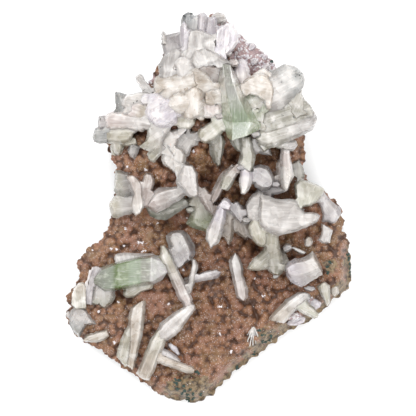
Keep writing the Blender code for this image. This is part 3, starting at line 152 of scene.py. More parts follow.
# The rock's widest outline, seen from above
RIM = [
    (-39, -4), (-40.6, -9), (-44.2, -13.6), (-48.4, -16.2), (-52.9, -22.6), (-51.5, -28),
    (-56.8, -35.6), (-55.8, -39.4), (-57.4, -44), (-54.5, -49), (-50.7, -53), (-45.4, -55.8),
    (-39.8, -59.6), (-30.3, -66.6), (-23.4, -72), (-16.3, -76.6), (-5.4, -78.4), (0, -76),
    (4.6, -71.8), (11.4, -64.8), (21.9, -57.6), (31.8, -49.2), (38.5, -46.9), (44.6, -42),
    (50.3, -37), (56.5, -32.5), (57.5, -26), (56.5, -14.2), (53.8, -9), (53.4, 0.2), (47, 6),
    (40, 10.3), (37.6, 15), (38.4, 20.5), (38, 29), (35, 38), (32, 48), (26.6, 56.6), (22.2, 61.6),
    (16.6, 66), (11, 69.5), (7.2, 74.6), (4.6, 78), (1, 77.4), (-3, 72), (-10, 68), (-17, 62),
    (-21.6, 53.8), (-24, 50), (-27, 44), (-33, 39), (-38, 33), (-41, 26.4), (-38.2, 18.8),
    (-36, 12), (-37, 3),
]

# Hollows between the crystals and in the crust: x, y, radius, depth
PITS = [
    (-15.5, -6.5, 3.6, 4.5), (0, 10.5, 4.4, 7), (11, 19.5, 3, 6), (21, 19, 3.2, 5), (-3, 35, 3, 2),
    (29, 5, 4, 5), (13, 4.4, 2.8, 4), (19.5, -16, 2.6, 4), (32.4, -19.4, 2.4, 3), (36, -31.6, 2.4, 2),
    (-28, 28.6, 3, 3), (-5, -31, 1.8, 1.6), (-36, -35, 2, 2), (30, -11.5, 2.6, 2.5),
]

# Round masses of crust that stand out of the rest: x, y, radius, height
KNOBS = [
    (42.2, -8.4, 3.1, 2.8), (-4.2, 21.5, 4.6, 4), (-26.6, 19, 5, 2.5), (-19, 13, 5, 3.5),
    (14.6, -17, 4.4, 3.5), (7.6, 4.4, 2.8, 3), (41.4, 0, 3, 4), (-36, -38, 2.8, 2.2), (25, 59, 3, 2),
    (19, 59, 3.2, 3), (35.6, -12, 3.4, 2), (-3.2, -15, 3, 1.6), (22, -28, 4, 1.4),
]

# Higher lumps that fill the hollows between crystals: x, y, radius, rise
FOOT_KNOBS = [
    (-3.4, 33.2, 4.5, 8), (-13.6, 31.8, 3.4, 7), (17.6, 28.2, 3.4, 8), (12.4, 50.4, 3.2, 9),
    (7.4, 60.6, 3, 8), (-4.3, 57.2, 3, 8), (-27.4, 27, 4, 6), (8, 3, 3, 3), (14, -3, 2.6, 3),
]

# Places where the crust is broken off and the cream rock under it shows: x, y, radius
BROKEN_PATCHES = [
    (-9, -73, 6.5), (-3, -72, 5), (-14, -72, 4), (24, -51.5, 4.2), (20, -56, 3), (16, -60.5, 2.6),
    (30, -48.6, 2.6), (56.5, -22, 2.6), (49, -23, 3), (41, -45, 3), (10, -65.4, 2.4), (53, -32, 3),
]

# Places where the crust is a lilac druse of tiny crystals: x, y, radius
DRUSE_PATCHES = [
    (18, 59, 6.5), (23.5, 56.5, 4.5), (14, 66, 4.5), (4.5, 76, 4.5), (10.5, 70.5, 4), (12, 60, 4),
    (27, 52, 3), (41, -39, 3.4), (35, -44.6, 3.4), (-24, 52, 3), (-36, 33, 3),
]

# Places where the crust is darker and redder: x, y, radius
DEEP_PATCHES = [(4, -42, 17), (-14, -58, 14), (22, -30, 12), (-2, -22, 12)]

# Cross-sections of the green prisms, each with its points in the same order
UPPER_GREEN_PRISM = [
    [(4.2, 57, 43), (5.6, 57.2, 47), (8.6, 56.6, 47), (10, 55, 43), (8.6, 54, 34), (5.4, 54, 34)],
    [(3.8, 50, 46), (6.2, 51.8, 51), (9.2, 51.4, 51), (12.4, 49.5, 45), (10.5, 49, 33), (5, 49, 33)],
    [(3.7, 42.6, 47), (7.6, 43.5, 52.5), (12, 43, 52.5), (15.8, 42.5, 46), (13.4, 43, 32), (6, 43, 32)],
    [(5.2, 35, 46), (9.8, 33.8, 52.5), (16.4, 34, 52.5), (21, 33, 46), (17, 34, 32), (8, 34, 32)],
    [(7.5, 27.9, 43.5), (9.4, 26.9, 46.5), (14.8, 28.4, 47), (21, 31.4, 45), (15.5, 31, 34),
     (9.4, 30, 34)],
]
LOWER_GREEN_PRISM = [
    [(-46.6, -28.2, 20), (-45.9, -28.2, 22.5), (-45.9, -30, 22.5), (-46.2, -30.8, 20), (-45, -30.6, 17),
     (-45, -28.6, 17)],
    [(-42.6, -23.4, 20.5), (-42.2, -24.8, 25.5), (-41.3, -32.3, 25.5), (-41.9, -33.7, 20.5),
     (-41, -32, 15), (-41, -25, 15)],
    [(-36.4, -21.5, 21), (-36.3, -22.4, 27.5), (-36, -31.8, 27.5), (-36, -32.9, 21), (-36, -32, 15),
     (-36, -23, 15)],
    [(-28, -19.4, 21), (-28, -20.3, 28), (-28, -30.2, 28), (-28, -31.5, 21), (-28, -30, 15),
     (-28, -21, 15)],
    [(-21.6, -18.7, 21), (-22.8, -19.8, 27.4), (-22.4, -29.3, 27), (-21.4, -30.5, 21), (-22, -28, 15.5),
     (-22, -20.6, 15.5)],
    [(-18.8, -19.2, 20.6), (-16.8, -22.4, 22.6), (-16.4, -25.6, 22.6), (-18.6, -29, 20.6),
     (-19.4, -27, 17.5), (-19.4, -21.6, 17.5)],
]

# Surface colours of the crystals, from brightest to darkest in each family
TONES = {
    "bright": (0.575, 0.545, 0.515),
    "white": (0.505, 0.475, 0.458),
    "soft_white": (0.42, 0.395, 0.378),
    "cream": (0.415, 0.36, 0.302),
    "warm_cream": (0.43, 0.367, 0.303),
    "pink": (0.462, 0.402, 0.382),
    "pink_grey": (0.35, 0.294, 0.266),
    "lilac": (0.483, 0.448, 0.483),
    "lilac_grey": (0.371, 0.343, 0.35),
    "slate": (0.19, 0.2, 0.21),
    "grey": (0.34, 0.32, 0.308),
    "blue_grey": (0.355, 0.36, 0.352),
    "green_white": (0.44, 0.43, 0.365),
    "green_cream": (0.385, 0.36, 0.29),
    "green_grey": (0.285, 0.27, 0.22),
    # painted shade: the colour of green crystals that lie in shade
    "dark_green": (0.238, 0.238, 0.189),
    "pale_green": (0.315, 0.345, 0.225),
    "beige": (0.378, 0.336, 0.28),
    "brown": (0.28, 0.231, 0.189),
}

# How a crystal grew: corner is how far its outline's corners are cut, bevel is how wide its
# bevels are next to its solid's, round is how rounded they are, crown is how far its middle
# stands above them, stria and pitch are its striations' height and spacing, step is the height
# of its growth steps, bump is its unevenness, plates are the thin plates stacked on it, ragged
# is how uneven its end is, crumbs are small crystals on it and clear is how much light passes.
PLAIN = dict(step=0.0, plates=0, crumbs=0)
KINDS = {
    "blade": dict(PLAIN, corner=0.03, bevel=1.15, round=0.1, crown=0.04, stria=0.08, pitch=0.9,
                  bump=0.03, ragged=0.25, clear=0.34),
    "lobe": dict(PLAIN, corner=0.15, bevel=0.85, round=0.7, crown=0.12, stria=0.03, pitch=1.3,
                 bump=0.08, ragged=0.10, clear=0.20),
    "dome": dict(PLAIN, corner=0.16, bevel=1.6, round=0.95, crown=0.12, stria=0.03, pitch=1.3,
                 bump=0.08, ragged=0.08, clear=0.26),
    "matte": dict(PLAIN, corner=0.08, bevel=0.45, round=0.4, crown=0.03, stria=0.01, pitch=1.3,
                  bump=0.08, ragged=0.05, clear=0.10),
    "sheaf": dict(PLAIN, corner=0.05, bevel=1.0, round=0.15, crown=0.12, stria=0.15, pitch=0.9,
                  bump=0.04, ragged=0.45, clear=0.30),
    "plate": dict(PLAIN, corner=0.03, bevel=0.6, round=0.1, crown=0.03, stria=0.06, pitch=1.1,
                  bump=0.08, ragged=0.20, clear=0.12, step=0.14, plates=2),
    "rough": dict(corner=0.10, bevel=0.9, round=0.5, crown=0.15, stria=0.08, pitch=0.9,
                  bump=0.25, ragged=0.40, clear=0.12, step=0.12, plates=1, crumbs=60),
    "glassy": dict(PLAIN, corner=0.02, bevel=1.1, round=0.0, crown=0.03, stria=0.03, pitch=1.2,
                   bump=0.03, ragged=0.06, clear=0.50),
}


def crystal(root, tip, outline, up=2.0, side=0.42, end=0.16, ridge=0.0, roll=0.0):
    """One crystal with a flat top face and bevels all round.

    root and tip are the ends of its long axis, outline is its widest outline in plan, up is how
    far its top face stands above that outline, side and end are the bevels' shares of its width
    and length, ridge moves the top face to one side, and roll tilts the crystal to that side.
    """
    return {"root": root, "tip": tip, "outline": outline, "up": up, "side": side, "end": end,
            "ridge": ridge, "roll": roll}


# Each node's slot in the record and its crystals, each with its tone, its kind and, where its
# tip differs, its tip's tone
NODES = {
    "upper_stilbite_cluster": ("cream_stilbite", {
        "dark_tipped_crystal": (("grey", "glassy", "slate"), crystal(
            (-8, 64, 35), (-8, 78, 33), [(-10.8, 66), (-10.9, 75), (-10.2, 76.9), (-8.5, 78),
            (-6.4, 77.9), (-4.8, 74.8), (-5, 66)], 2.4)),
        "narrow_lilac_blade": (("lilac", "blade"), crystal(
            (-9.5, 58, 40), (-9.6, 74.5, 37), [(-10.8, 59), (-11.6, 68), (-11.2, 72.4), (-10, 74.4),
            (-8.3, 73), (-8, 66), (-8.6, 59)], 1.8, 0.6)),
        "pointed_white_crystal": (("lilac", "blade"), crystal(
            (-3, 66, 37), (-2.2, 78.2, 34), [(-5, 66), (-4.9, 75.4), (-3.9, 77.2), (-2.1, 78.2),
            (-0.8, 77.2), (-0.2, 75.4), (-0.8, 66)], 2.2, 0.6)),
        "short_white_blade": (("lilac", "blade"), crystal(
            (0.8, 64, 37), (2.4, 76.4, 33), [(-0.6, 66), (0.2, 73.6), (1.4, 76), (2.7, 76.4), (3.5, 75),
            (3.4, 70), (2.4, 65)], 1.8, 0.55)),
        "horned_crystal": (("lilac_grey", "glassy"), crystal(
            (-14, 60, 37), (-15, 70.5, 33), [(-17.6, 59), (-18.5, 65), (-18.2, 68.6), (-16.2, 69.2),
            (-11.2, 70.3), (-10.4, 66), (-11, 59)], 2.2, 0.3, 0.2)),
        "horn": (("grey", "glassy"), crystal(
            (-17.6, 65, 36), (-18.2, 70.9, 34), [(-18.8, 65), (-18.8, 69.6), (-18.1, 71), (-16.6, 69),
            (-16.2, 65)], 1.6, 0.5, 0.2)),
        "matte_grey_crystal": (("grey", "matte"), crystal(
            (-3, 59, 42), (-4, 71, 38), [(-8.4, 61), (-8.2, 68), (-7.2, 71), (-4.3, 71.2), (-1, 70),
            (1.4, 69), (2.8, 66), (2.8, 61)], 2.6, 0.16, 0.14)),
        "pearly_plate": (("lilac", "plate"), crystal(
            (6.5, 58, 42), (8, 73.6, 39), [(6.2, 59.8), (3.4, 62.4), (2.6, 66.6), (3.2, 71.2),
            (7.5, 73.6), (9.8, 73.4), (11.9, 69), (12, 66), (9.4, 62.4)], 2, 0.3, 0.12, 0.3)),
        "winged_fan": (("grey", "sheaf", "soft_white"), crystal(
            (1, 55, 45), (-2, 64.4, 42), [(-3.6, 55.8), (-7.9, 61), (-6.6, 63.7), (-4.3, 63.4),
            (-2.2, 64.4), (0.4, 63.3), (3.4, 61.4), (9.8, 57.2), (6, 56)], 2.2, 0.3, 0.3)),
        "grey_disc": (("grey", "dome"), crystal(
            (-14, 51, 44), (-12, 63.6, 40), [(-19.6, 52.6), (-20, 56.6), (-18.2, 60), (-14.2, 63.3),
            (-12.2, 63.6), (-8.6, 62), (-5.8, 58), (-7, 53), (-14, 51)], 2.4, 0.22, 0.22)),
        "disc_inner_plate": (("soft_white", "dome", "white"), crystal(
            (-11, 54, 47), (-10, 60.3, 44.5), [(-13.8, 57.2), (-12, 59.7), (-9.2, 60.3), (-6.6, 58.6),
            (-5.9, 56), (-8.4, 54), (-12.6, 54.2)], 1.2, 0.3, 0.3)),
        "cream_wing": (("cream", "dome"), crystal(
            (-3, 50, 49), (-21.8, 48.5, 43), [(-2.4, 55.2), (-5, 55.6), (-9, 53.9), (-15, 52.8),
            (-20.8, 52.5), (-21.9, 50), (-21.8, 46.2), (-19.6, 45.8), (-18.2, 44.3), (-16.6, 43.8),
            (-8, 45.4), (-3, 48)], 3.2, 0.3, 0.1, 0.25)),
        "upper_right_lobe": (("cream", "dome"), crystal(
            (-4, 49, 49.5), (3.6, 49, 45), [(-6, 55), (-2.3, 55.3), (-0.4, 53.6), (1.6, 51), (5.4, 46.8),
            (4.6, 43.6), (-2, 45), (-6, 50)], 3, 0.3, 0.2)),
        "pink_facet": (("pink_grey", "glassy", "pink"), crystal(
            (-1, 54.6, 47.5), (4.4, 51.8, 43.5), [(-2.6, 56.2), (4.2, 56.4), (4.8, 53), (5, 47.4),
            (2, 50.6), (-0.4, 53.4)], 1.4, 0.2, 0.14)),
        "left_lobe": (("cream", "dome"), crystal(
            (-7, 42, 50), (-16.7, 41, 47), [(-7.6, 45), (-11.2, 46.5), (-14, 45.6), (-15.8, 43.8),
            (-16.7, 41.4), (-16, 39.4), (-14.2, 37.6), (-11, 36.4), (-8.4, 37.6), (-6.4, 41)], 3.4, 0.26,
            0.2)),
        "centre_lobe": (("warm_cream", "dome"), crystal(
            (-5, 47, 51), (-5, 34.8, 48), [(-9.6, 46), (-5, 48.6), (-1.4, 46.6), (-1, 40), (-1.4, 36.6),
            (-4.8, 35.6), (-7.4, 34.6), (-10.6, 36), (-10.2, 41)], 3.2, 0.34, 0.16, -0.2)),
        "round_right_lobe": (("cream", "dome"), crystal(
            (0, 42, 50), (5.8, 43.6, 45), [(-1.8, 45), (0.6, 48), (3.2, 48), (5.4, 46.2), (5.9, 43),
            (4.4, 40.6), (1.6, 39.8), (-1.4, 41)], 3, 0.3, 0.2)),
        "frilly_lower_lobe": (("pink", "rough"), crystal(
            (0, 41, 48), (0.6, 35.5, 46), [(-2.6, 41), (4, 40.6), (4.2, 38.8), (3.6, 37), (1.8, 35.9),
            (-0.4, 35.5), (-3, 36)], 2.2, 0.3, 0.2)),
        "rough_white_crystal": (("lilac", "rough"), crystal(
            (-17, 41, 47), (-24, 37, 44), [(-20.4, 45.7), (-23.2, 45.1), (-24.4, 41), (-25.3, 38),
            (-24.6, 35.8), (-21.8, 33), (-19.2, 31.7), (-15.8, 31.8), (-12.6, 33.2), (-12, 37),
            (-16, 43)], 2.6, 0.26, 0.2)),
        "shaded_under_lobe": (("green_cream", "lobe"), crystal(
            (-9, 37, 44), (-9, 31, 43), [(-13, 33), (-12.4, 37), (-6, 37), (-5, 33.6), (-7.4, 31.2),
            (-11.6, 31.4)], 1.8, 0.3, 0.2)),
        "triangular_fan": (("soft_white", "sheaf", "green_cream"), crystal(
            (-17, 31, 43), (-27.6, 24.4, 38), [(-15, 31.5), (-19, 33), (-22, 35), (-24.6, 33.6),
            (-24.3, 29), (-25.2, 26.4), (-27.7, 24.4), (-25.4, 23.1), (-20.6, 21.2), (-18.6, 22.6),
            (-18, 27)], 1.6, 0.4, 0.3)),
    }),
    "right_stilbite_fans": ("cream_stilbite", {
        "flat_cream_crystal": (("cream", "lobe"), crystal(
            (24, 46, 48.4), (13, 48.6, 44.5), [(13.4, 49.9), (15, 51.4), (18, 53), (21.5, 53.7),
            (23.4, 52.6), (25.3, 49.5), (25.9, 46.8), (25.5, 43), (24.7, 39.2), (23, 38.8), (23, 41.5),
            (21.1, 43), (18, 44.9), (14.6, 44.9), (13.1, 47.6)], 2.6, 0.24, 0.14)),
        "round_ended_crystal": (("soft_white", "dome", "blue_grey"), crystal(
            (22, 44, 45.6), (38.2, 52, 43), [(20, 46), (20.6, 53.4), (24.4, 53.8), (27.6, 55.8),
            (30, 57.2), (33, 56.8), (36, 55.4), (38, 53), (38.4, 50.5), (37.4, 47.4), (33.5, 43.2),
            (29, 39), (26, 38.3), (22.8, 38.2)], 3.4, 0.34, 0.14, 0.1)),
        "fan_top_wedge": (("green_grey", "glassy", "green_cream"), crystal(
            (34, 37, 43.4), (37, 44, 42.4), [(32.2, 38.4), (34.9, 42.6), (36.8, 45.7), (37.9, 43),
            (38.3, 39.9), (36.8, 36.1), (34.9, 35)], 1.4, 0.2, 0.14)),
        "fan_inner_plate": (("green_grey", "sheaf"), crystal(
            (22, 34, 43), (40, 40, 41.6), [(22.4, 38.6), (29.5, 39.6), (36.8, 45.9), (38.4, 43),
            (40.4, 41), (42.2, 38), (41, 35), (30, 31), (22, 29)], 1.8, 0.2, 0.1)),
        "fan_striated_side": (("green_grey", "sheaf", "grey"), crystal(
            (20, 27.4, 43), (42, 34, 41.5), [(18.4, 27.6), (21, 31), (30, 33.4), (38, 37), (42.2, 38.2),
            (43.3, 35.8), (42.6, 33.2), (41.2, 30.8), (34, 27.2), (26, 23.9), (23.6, 23.6), (20.6, 25.2)],
            3.2, 0.5, 0.08, -0.1)),
        "blade_under_fan": (("grey", "blade"), crystal(
            (20, 27, 37.5), (24, 20.8, 35), [(18.3, 27.4), (18.4, 23.6), (19.6, 21.8), (22.5, 21.2),
            (25.4, 20.6), (24.8, 23), (23.6, 27)], 1.6, 0.4, 0.2)),
        "upper_green_lobe": (("green_cream", "glassy", "pale_green"), crystal(
            (20, 40, 44), (17, 45.6, 42), [(14.8, 40), (14.2, 44.8), (17, 45.5), (20, 44.8), (22.6, 42.8),
            (23.5, 40.4), (22.6, 38)], 2.8, 0.3, 0.2)),
        "lower_green_lobe": (("pale_green", "glassy", "green_cream"), crystal(
            (20, 39, 45), (20.6, 31.2, 43), [(17, 39.6), (22.6, 40), (22.8, 36), (22, 33), (20.8, 31.2),
            (18.8, 32.4), (17.2, 36)], 2.4, 0.3, 0.2)),
    }),
    "middle_stilbite_cluster": ("white_stilbite", {
        "green_shaded_stub": (("dark_green", "blade"), crystal(
            (9.6, 28.6, 37), (11.6, 22, 36), [(7.6, 28.6), (9.5, 24.6), (11.3, 22.7), (13, 22),
            (13, 28.6)], 1.6, 0.4, 0.1)),
        "tall_green_grey_blade": (("green_grey", "sheaf", "green_white"), crystal(
            (15, 29, 39), (15.4, 14.8, 38), [(12.2, 28.6), (17.2, 28.8), (17.9, 24), (18.8, 20.5),
            (18.2, 17), (16.6, 14.8), (13, 15.6), (11.4, 17), (12.9, 20)], 2.4, 0.44, 0.1)),
        "chisel_blade": (("pink_grey", "blade", "green_white"), crystal(
            (11.4, 16.6, 38), (6, 7.4, 36.5), [(11.4, 17.8), (8, 15.4), (5.5, 13), (4.7, 10), (4.6, 7.5),
            (7.5, 6.8), (9, 8.2), (12.4, 15)], 2.2, 0.4, 0.06)),
        "pink_grey_blade": (("pink_grey", "blade"), crystal(
            (9, 16.6, 34), (1.6, 1.6, 32), [(9.8, 17.8), (6, 15), (3.8, 12.4), (2.4, 9.2), (0.3, 4),
            (0.8, 2.4), (1.6, 1.5), (3, 2.2), (4.9, 4.6), (6, 8), (9, 12)], 1.8, 0.45, 0.06)),
        "bright_ragged_blade": (("lilac", "blade", "bright"), crystal(
            (15, 15.6, 41), (14, 5.3, 40), [(13, 15), (14.4, 15.7), (17.5, 14.2), (17.6, 11), (16.8, 8.4),
            (14.6, 5.3), (13, 5.6), (12, 9.4), (12.2, 12)], 2, 0.4, 0.1, -0.2)),
        "round_clear_crystal": (("lilac_grey", "glassy"), crystal(
            (18.6, 14, 37.5), (25.6, 9.6, 35), [(17.6, 16.6), (21, 17.4), (23.8, 16.6), (25.4, 14.2),
            (26.3, 11.6), (25.8, 8.6), (24, 7.2), (21, 7), (18.4, 8.4), (17.2, 12)], 2.8, 0.3)),
    }),
    "cream_green_lobe": ("cream_stilbite", {
        "cream_green_lobe": (("green_white", "lobe", "green_cream"), crystal(
            (5, 33, 43), (-2, 27, 40), [(3.8, 36.8), (-1.5, 32.9), (-4.3, 31), (-4.4, 28.6), (-3.2, 26.6),
            (-1.2, 25.5), (2.8, 27.2), (6, 30.2), (7, 33)], 2.6, 0.36, 0.14)),
        "hanging_clear_blade": (("green_grey", "glassy"), crystal(
            (4, 28.6, 37.5), (3.6, 16.4, 34.5), [(0.1, 27), (0.3, 22), (1.6, 19), (3.4, 16.3), (4.8, 17),
            (5.4, 20), (6.9, 26.6), (5.6, 29)], 1.8, 0.5, 0.08, 0.2)),
    }),
    "curved_stilbite_fan": ("white_stilbite", {
        "fan_upper_arm": (("white", "dome", "bright"), crystal(
            (-11, 29, 40), (-17.6, 27, 38), [(-9.2, 30.8), (-12, 31.8), (-15.5, 30.6), (-17.8, 27.6),
            (-18.4, 24), (-14, 22.4), (-13.2, 24.4), (-12.4, 26.6), (-10.4, 29)], 2.2, 0.3, 0.1)),
        "fan_lower_arm": (("bright", "sheaf"), crystal(
            (-13, 24, 38), (-15.6, 14.6, 35), [(-13.4, 24.6), (-18.4, 25), (-18.9, 20), (-18.2, 17.3),
            (-15.4, 15.4), (-13.8, 14), (-11.4, 13.5), (-10, 15), (-9.2, 18), (-8.6, 21), (-10.4, 23.4)],
            2.4, 0.32, 0.14)),
        "fan_hollow_plate": (("soft_white", "sheaf"), crystal(
            (-6, 28, 36), (-11, 20, 34.5), [(-9.6, 30.4), (-4.6, 30.6), (-3.6, 27.6), (-4.2, 25),
            (-6.6, 24.2), (-8, 20.6), (-12, 19), (-13.6, 24.6)], 1.2, 0.3, 0.2)),
        "hanging_block": (("white", "blade"), crystal(
            (-8, 17, 37), (-6.4, 4.2, 36), [(-10.6, 17.4), (-6, 17), (-4.5, 14), (-4, 10), (-3.8, 5),
            (-5.5, 4.1), (-8, 4.4), (-10, 6.6), (-13.2, 10), (-12.6, 13)], 3.2, 0.34, 0.1, 0.3)),
    }),
    "left_stilbite_cluster": ("grey_stilbite", {
        "clear_pyramid": (("blue_grey", "glassy"), crystal(
            (-34.6, 39, 32), (-36.6, 46.4, 30), [(-34, 38.4), (-32.7, 45.2), (-34.8, 46.1), (-37.2, 46.5),
            (-37.3, 43), (-36.8, 38.8)], 2.4, 0.8, 0.3)),
        "grey_ellipse": (("soft_white", "matte"), crystal(
            (-24, 41, 38), (-34.8, 41.6, 34), [(-23, 45.4), (-25, 46.2), (-28, 45.9), (-32.5, 45),
            (-34.2, 43.6), (-34.8, 41.4), (-33.4, 38.8), (-29, 36.8), (-24.6, 37), (-23.2, 41)], 2.6,
            0.3)),
        "inner_ellipse": (("beige", "matte", "pink"), crystal(
            (-25, 38, 39), (-31, 40, 36.5), [(-24.8, 41), (-28, 42.2), (-31, 41.2), (-31.2, 39),
            (-30, 35.4), (-25, 35)], 2.2, 0.3, 0.2)),
        "pink_white_blade": (("soft_white", "lobe", "pink"), crystal(
            (-24, 34, 39), (-41.6, 35, 34), [(-24.2, 35.4), (-25.8, 36.5), (-30, 36.9), (-34, 38.1),
            (-38, 38.4), (-40.6, 37.6), (-41.6, 35.2), (-41, 32.6), (-39.6, 31), (-33, 31.5),
            (-29.5, 30.8), (-26, 30.2), (-24.4, 31.5)], 2.8, 0.36, 0.12)),
        "upper_edge_crystal": (("lilac_grey", "glassy"), crystal(
            (-40, 34, 33), (-44.2, 34.6, 31), [(-40, 36.8), (-42.2, 37), (-43.9, 36.5), (-44.3, 33.8),
            (-43.8, 31.2), (-40, 31)], 1.8, 0.4, 0.24)),
        "lower_edge_crystal": (("blue_grey", "glassy"), crystal(
            (-40, 28.6, 33), (-46.3, 28.4, 30), [(-40, 31.6), (-44.2, 32.4), (-45.5, 31.6), (-46.4, 28.4),
            (-45.8, 26.5), (-43.5, 25.6), (-40, 25.8)], 2, 0.4, 0.2)),
        "green_grey_mass": (("green_cream", "lobe"), crystal(
            (-30, 29.4, 34), (-42, 28.6, 31.5), [(-29.6, 29.4), (-30.6, 31.2), (-38, 31.8), (-42, 31),
            (-41.8, 27), (-39, 25.8), (-34.3, 25.8), (-31.4, 26.5)], 2.6, 0.4, 0.14)),
        "hanging_stub": (("green_cream", "blade"), crystal(
            (-36.6, 28, 31.5), (-35.8, 20.8, 29), [(-39.3, 27), (-34.4, 27), (-33.6, 24), (-34.4, 21.8),
            (-35.8, 20.8), (-37.5, 21.8), (-38.7, 24)], 2.2, 0.5, 0.2)),
    }),
    "small_grey_blade": ("grey_stilbite", {
        "small_grey_blade": (("grey", "blade"), crystal(
            (-29.4, 26.4, 31), (-30.4, 19.4, 28.5), [(-31, 26.4), (-28.6, 26.2), (-27.7, 24), (-28.4, 21),
            (-29.6, 19.4), (-31.6, 20.6), (-32.4, 23)], 1.4, 0.5, 0.16, -0.2)),
    }),
    "long_left_blade": ("lilac_stilbite", {
        "long_left_blade": (("soft_white", "blade", "pink"), crystal(
            (-10, 6.6, 34), (-24, 0, 30.5), [(-9.6, 9.4), (-13, 8.6), (-20, 8.2), (-21.8, 6.6),
            (-23.4, 3.6), (-24.3, 0.5), (-22.5, -1.2), (-20.8, -2), (-18, -0.8), (-11, 3.4), (-9.4, 5)],
            2.6, 0.45, 0.06, -0.1)),
        "shaded_green_crystals": (("dark_green", "glassy"), crystal(
            (-9, 1.6, 29), (-24.6, -2, 26), [(-7.4, 1.4), (-8.6, 4), (-16, 3), (-25.4, 0.4),
            (-23.5, -3.2), (-20.5, -4.5), (-17, -5), (-14, -3.2)], 1.6, 0.4, 0.1)),
    }),
    "left_edge_crystals": ("white_stilbite", {
        "left_edge_plate": (("grey", "glassy", "green_white"), crystal(
            (-31, 10, 30), (-37.6, 9, 27), [(-32, 14.4), (-37.2, 15.3), (-37.6, 11), (-37.9, 6.8),
            (-36.4, 4.8), (-33.5, 4.2), (-30, 5), (-28.6, 8), (-30, 11)], 2.6, 0.4, 0.24, -0.3)),
        "left_edge_lump": (("soft_white", "dome", "green_cream"), crystal(
            (-31, 1, 26.5), (-39.8, 1, 24), [(-30.6, 5.6), (-34, 5.8), (-37.4, 5.2), (-39.9, 1.8),
            (-39.3, -1.5), (-38.3, -4), (-36, -4.2), (-33.5, -2.8), (-30.4, -2.4), (-30, 1)], 2.4, 0.3,
            0.2)),
        "pink_upright_blade": (("pink_grey", "lobe", "bright"), crystal(
            (-30.4, 12, 32), (-28.9, -2.6, 31.5), [(-33.2, 12.6), (-30.6, 13.4), (-28, 11.6),
            (-26.2, 9.4), (-26.4, 5.4), (-25.4, 1.4), (-27, -2.2), (-29.2, -3.3), (-30.4, -1.5),
            (-30.9, 2), (-29.8, 5.4), (-31, 9)], 2.6, 0.42, 0.08, 0.2)),
        "pink_back_blade": (("pink_grey", "lobe", "pink"), crystal(
            (-23.6, 13, 31.5), (-26, 0.6, 29), [(-25.4, 14.2), (-22.4, 13.6), (-21.2, 11), (-22.4, 7),
            (-23.6, 3), (-25.2, -0.4), (-27.6, 2.6), (-27.4, 8)], 2.4, 0.42, 0.1)),
    }),
    "central_blades": ("white_stilbite", {
        "broad_green_crystal": (("green_cream", "glassy", "pale_green"), crystal(
            (-6, 4, 28), (-3, -9, 24.5), [(-8.3, 4.6), (-4, 4.4), (-1.4, 1), (1, -0.8), (2.2, -3.6),
            (0.8, -6.4), (-0.8, -9.6), (-4.2, -8.7), (-6.6, -7.9), (-9, -6.2), (-6.4, -1.4)], 2.4, 0.34,
            0.12, 0.2)),
        "lilac_grey_blade": (("pink_grey", "blade"), crystal(
            (-2, 8, 32), (2.6, -3, 30), [(-3.8, 8), (-1.4, 8.6), (0.2, 6.4), (1, 3.2), (3, 1.2),
            (3.5, -1.2), (1.8, -3.4), (-1.4, -0.4), (-3.8, 4)], 1.6, 0.4, 0.1)),
        "big_white_blade": (("lilac", "blade", "bright"), crystal(
            (5.2, 0.8, 36), (0.8, -16.2, 33), [(3.2, -0.4), (5.2, 1), (7.2, -0.6), (7, -4), (6.2, -7.5),
            (5.4, -11), (4.3, -13.7), (0.8, -16.4), (-0.2, -14), (-1.3, -12), (-0.9, -9), (1.8, -3.5)],
            2.6, 0.36, 0.07, -0.2)),
        "lilac_head": (("lilac", "blade"), crystal(
            (8, 1, 36.5), (4.4, 3.6, 35.5), [(3.2, 0.2), (4.6, 2.2), (6.2, 4.1), (8.4, 3.6), (9.5, 1.4),
            (8.2, -1), (4.6, -1)], 1.8, 0.4, 0.2)),
        "pointed_brown_blade": (("brown", "blade"), crystal(
            (8, -1, 32), (8.2, -15, 28), [(6.8, -1), (9.4, -1), (10.1, -4.5), (10.3, -9), (9.6, -13),
            (8.2, -15.1), (6.8, -13.2), (5.7, -11), (6, -6)], 1.8, 0.44, 0.06)),
        "lilac_grey_crystal": (("lilac_grey", "glassy"), crystal(
            (11, 2.4, 35), (13, -6, 32.5), [(10.2, 2.5), (11.8, 2.5), (13.5, 0.8), (14.4, -2), (14.4, -5),
            (12.8, -6.2), (10.6, -4), (7.8, -1.4)], 1.8, 0.4, 0.12)),
        # its brown tone is painted shade, for a crystal that lies in shade
        "shaded_low_crystal": (("brown", "glassy"), crystal(
            (12, -4, 29.5), (15, -12.4, 26.5), [(10.4, -4), (15.4, -5.4), (17.6, -8), (17.2, -11),
            (15, -12.5), (12, -11), (10.3, -9.6)], 1.6, 0.4, 0.14)),
    }),
    "white_bow_tie": ("white_stilbite", {
        "bow_tie_main": (("soft_white", "lobe"), crystal(
            (20, -2.4, 38.5), (44.4, -4, 29), [(20.4, 5.9), (24, 4.7), (27, 3.5), (33, 3.7), (35.4, 3),
            (36.8, 0.4), (38.6, -1.8), (43, -1.8), (44.7, -3), (44, -5), (42.2, -6.4), (35, -9.4),
            (27.5, -11.3), (23, -9.3), (20.6, -7.2), (19.7, -4), (20, 0.6)], 3.6, 0.4, 0.14, -0.1)),
        "bow_tie_back_lobe": (("soft_white", "lobe"), crystal(
            (22, 0, 36), (14.8, -0.4, 33), [(22, 6), (20, 6.6), (17.4, 5.6), (15.6, 3.2), (14.6, 1),
            (14.8, -2), (15.5, -4.6), (17.6, -6), (20.4, -6.6), (23, -4)], 3, 0.34)),
        "bow_tie_low_lobe": (("green_cream", "lobe"), crystal(
            (19, -6.6, 34), (21.6, -15.6, 31), [(15.6, -7.6), (17.6, -4), (23, -4), (23.3, -11.6),
            (23, -15), (21, -15.7), (18.6, -14.2), (16.8, -11.6)], 2.4, 0.34, 0.14)),
        "long_grey_green_lobe": (("green_cream", "dome", "green_grey"), crystal(
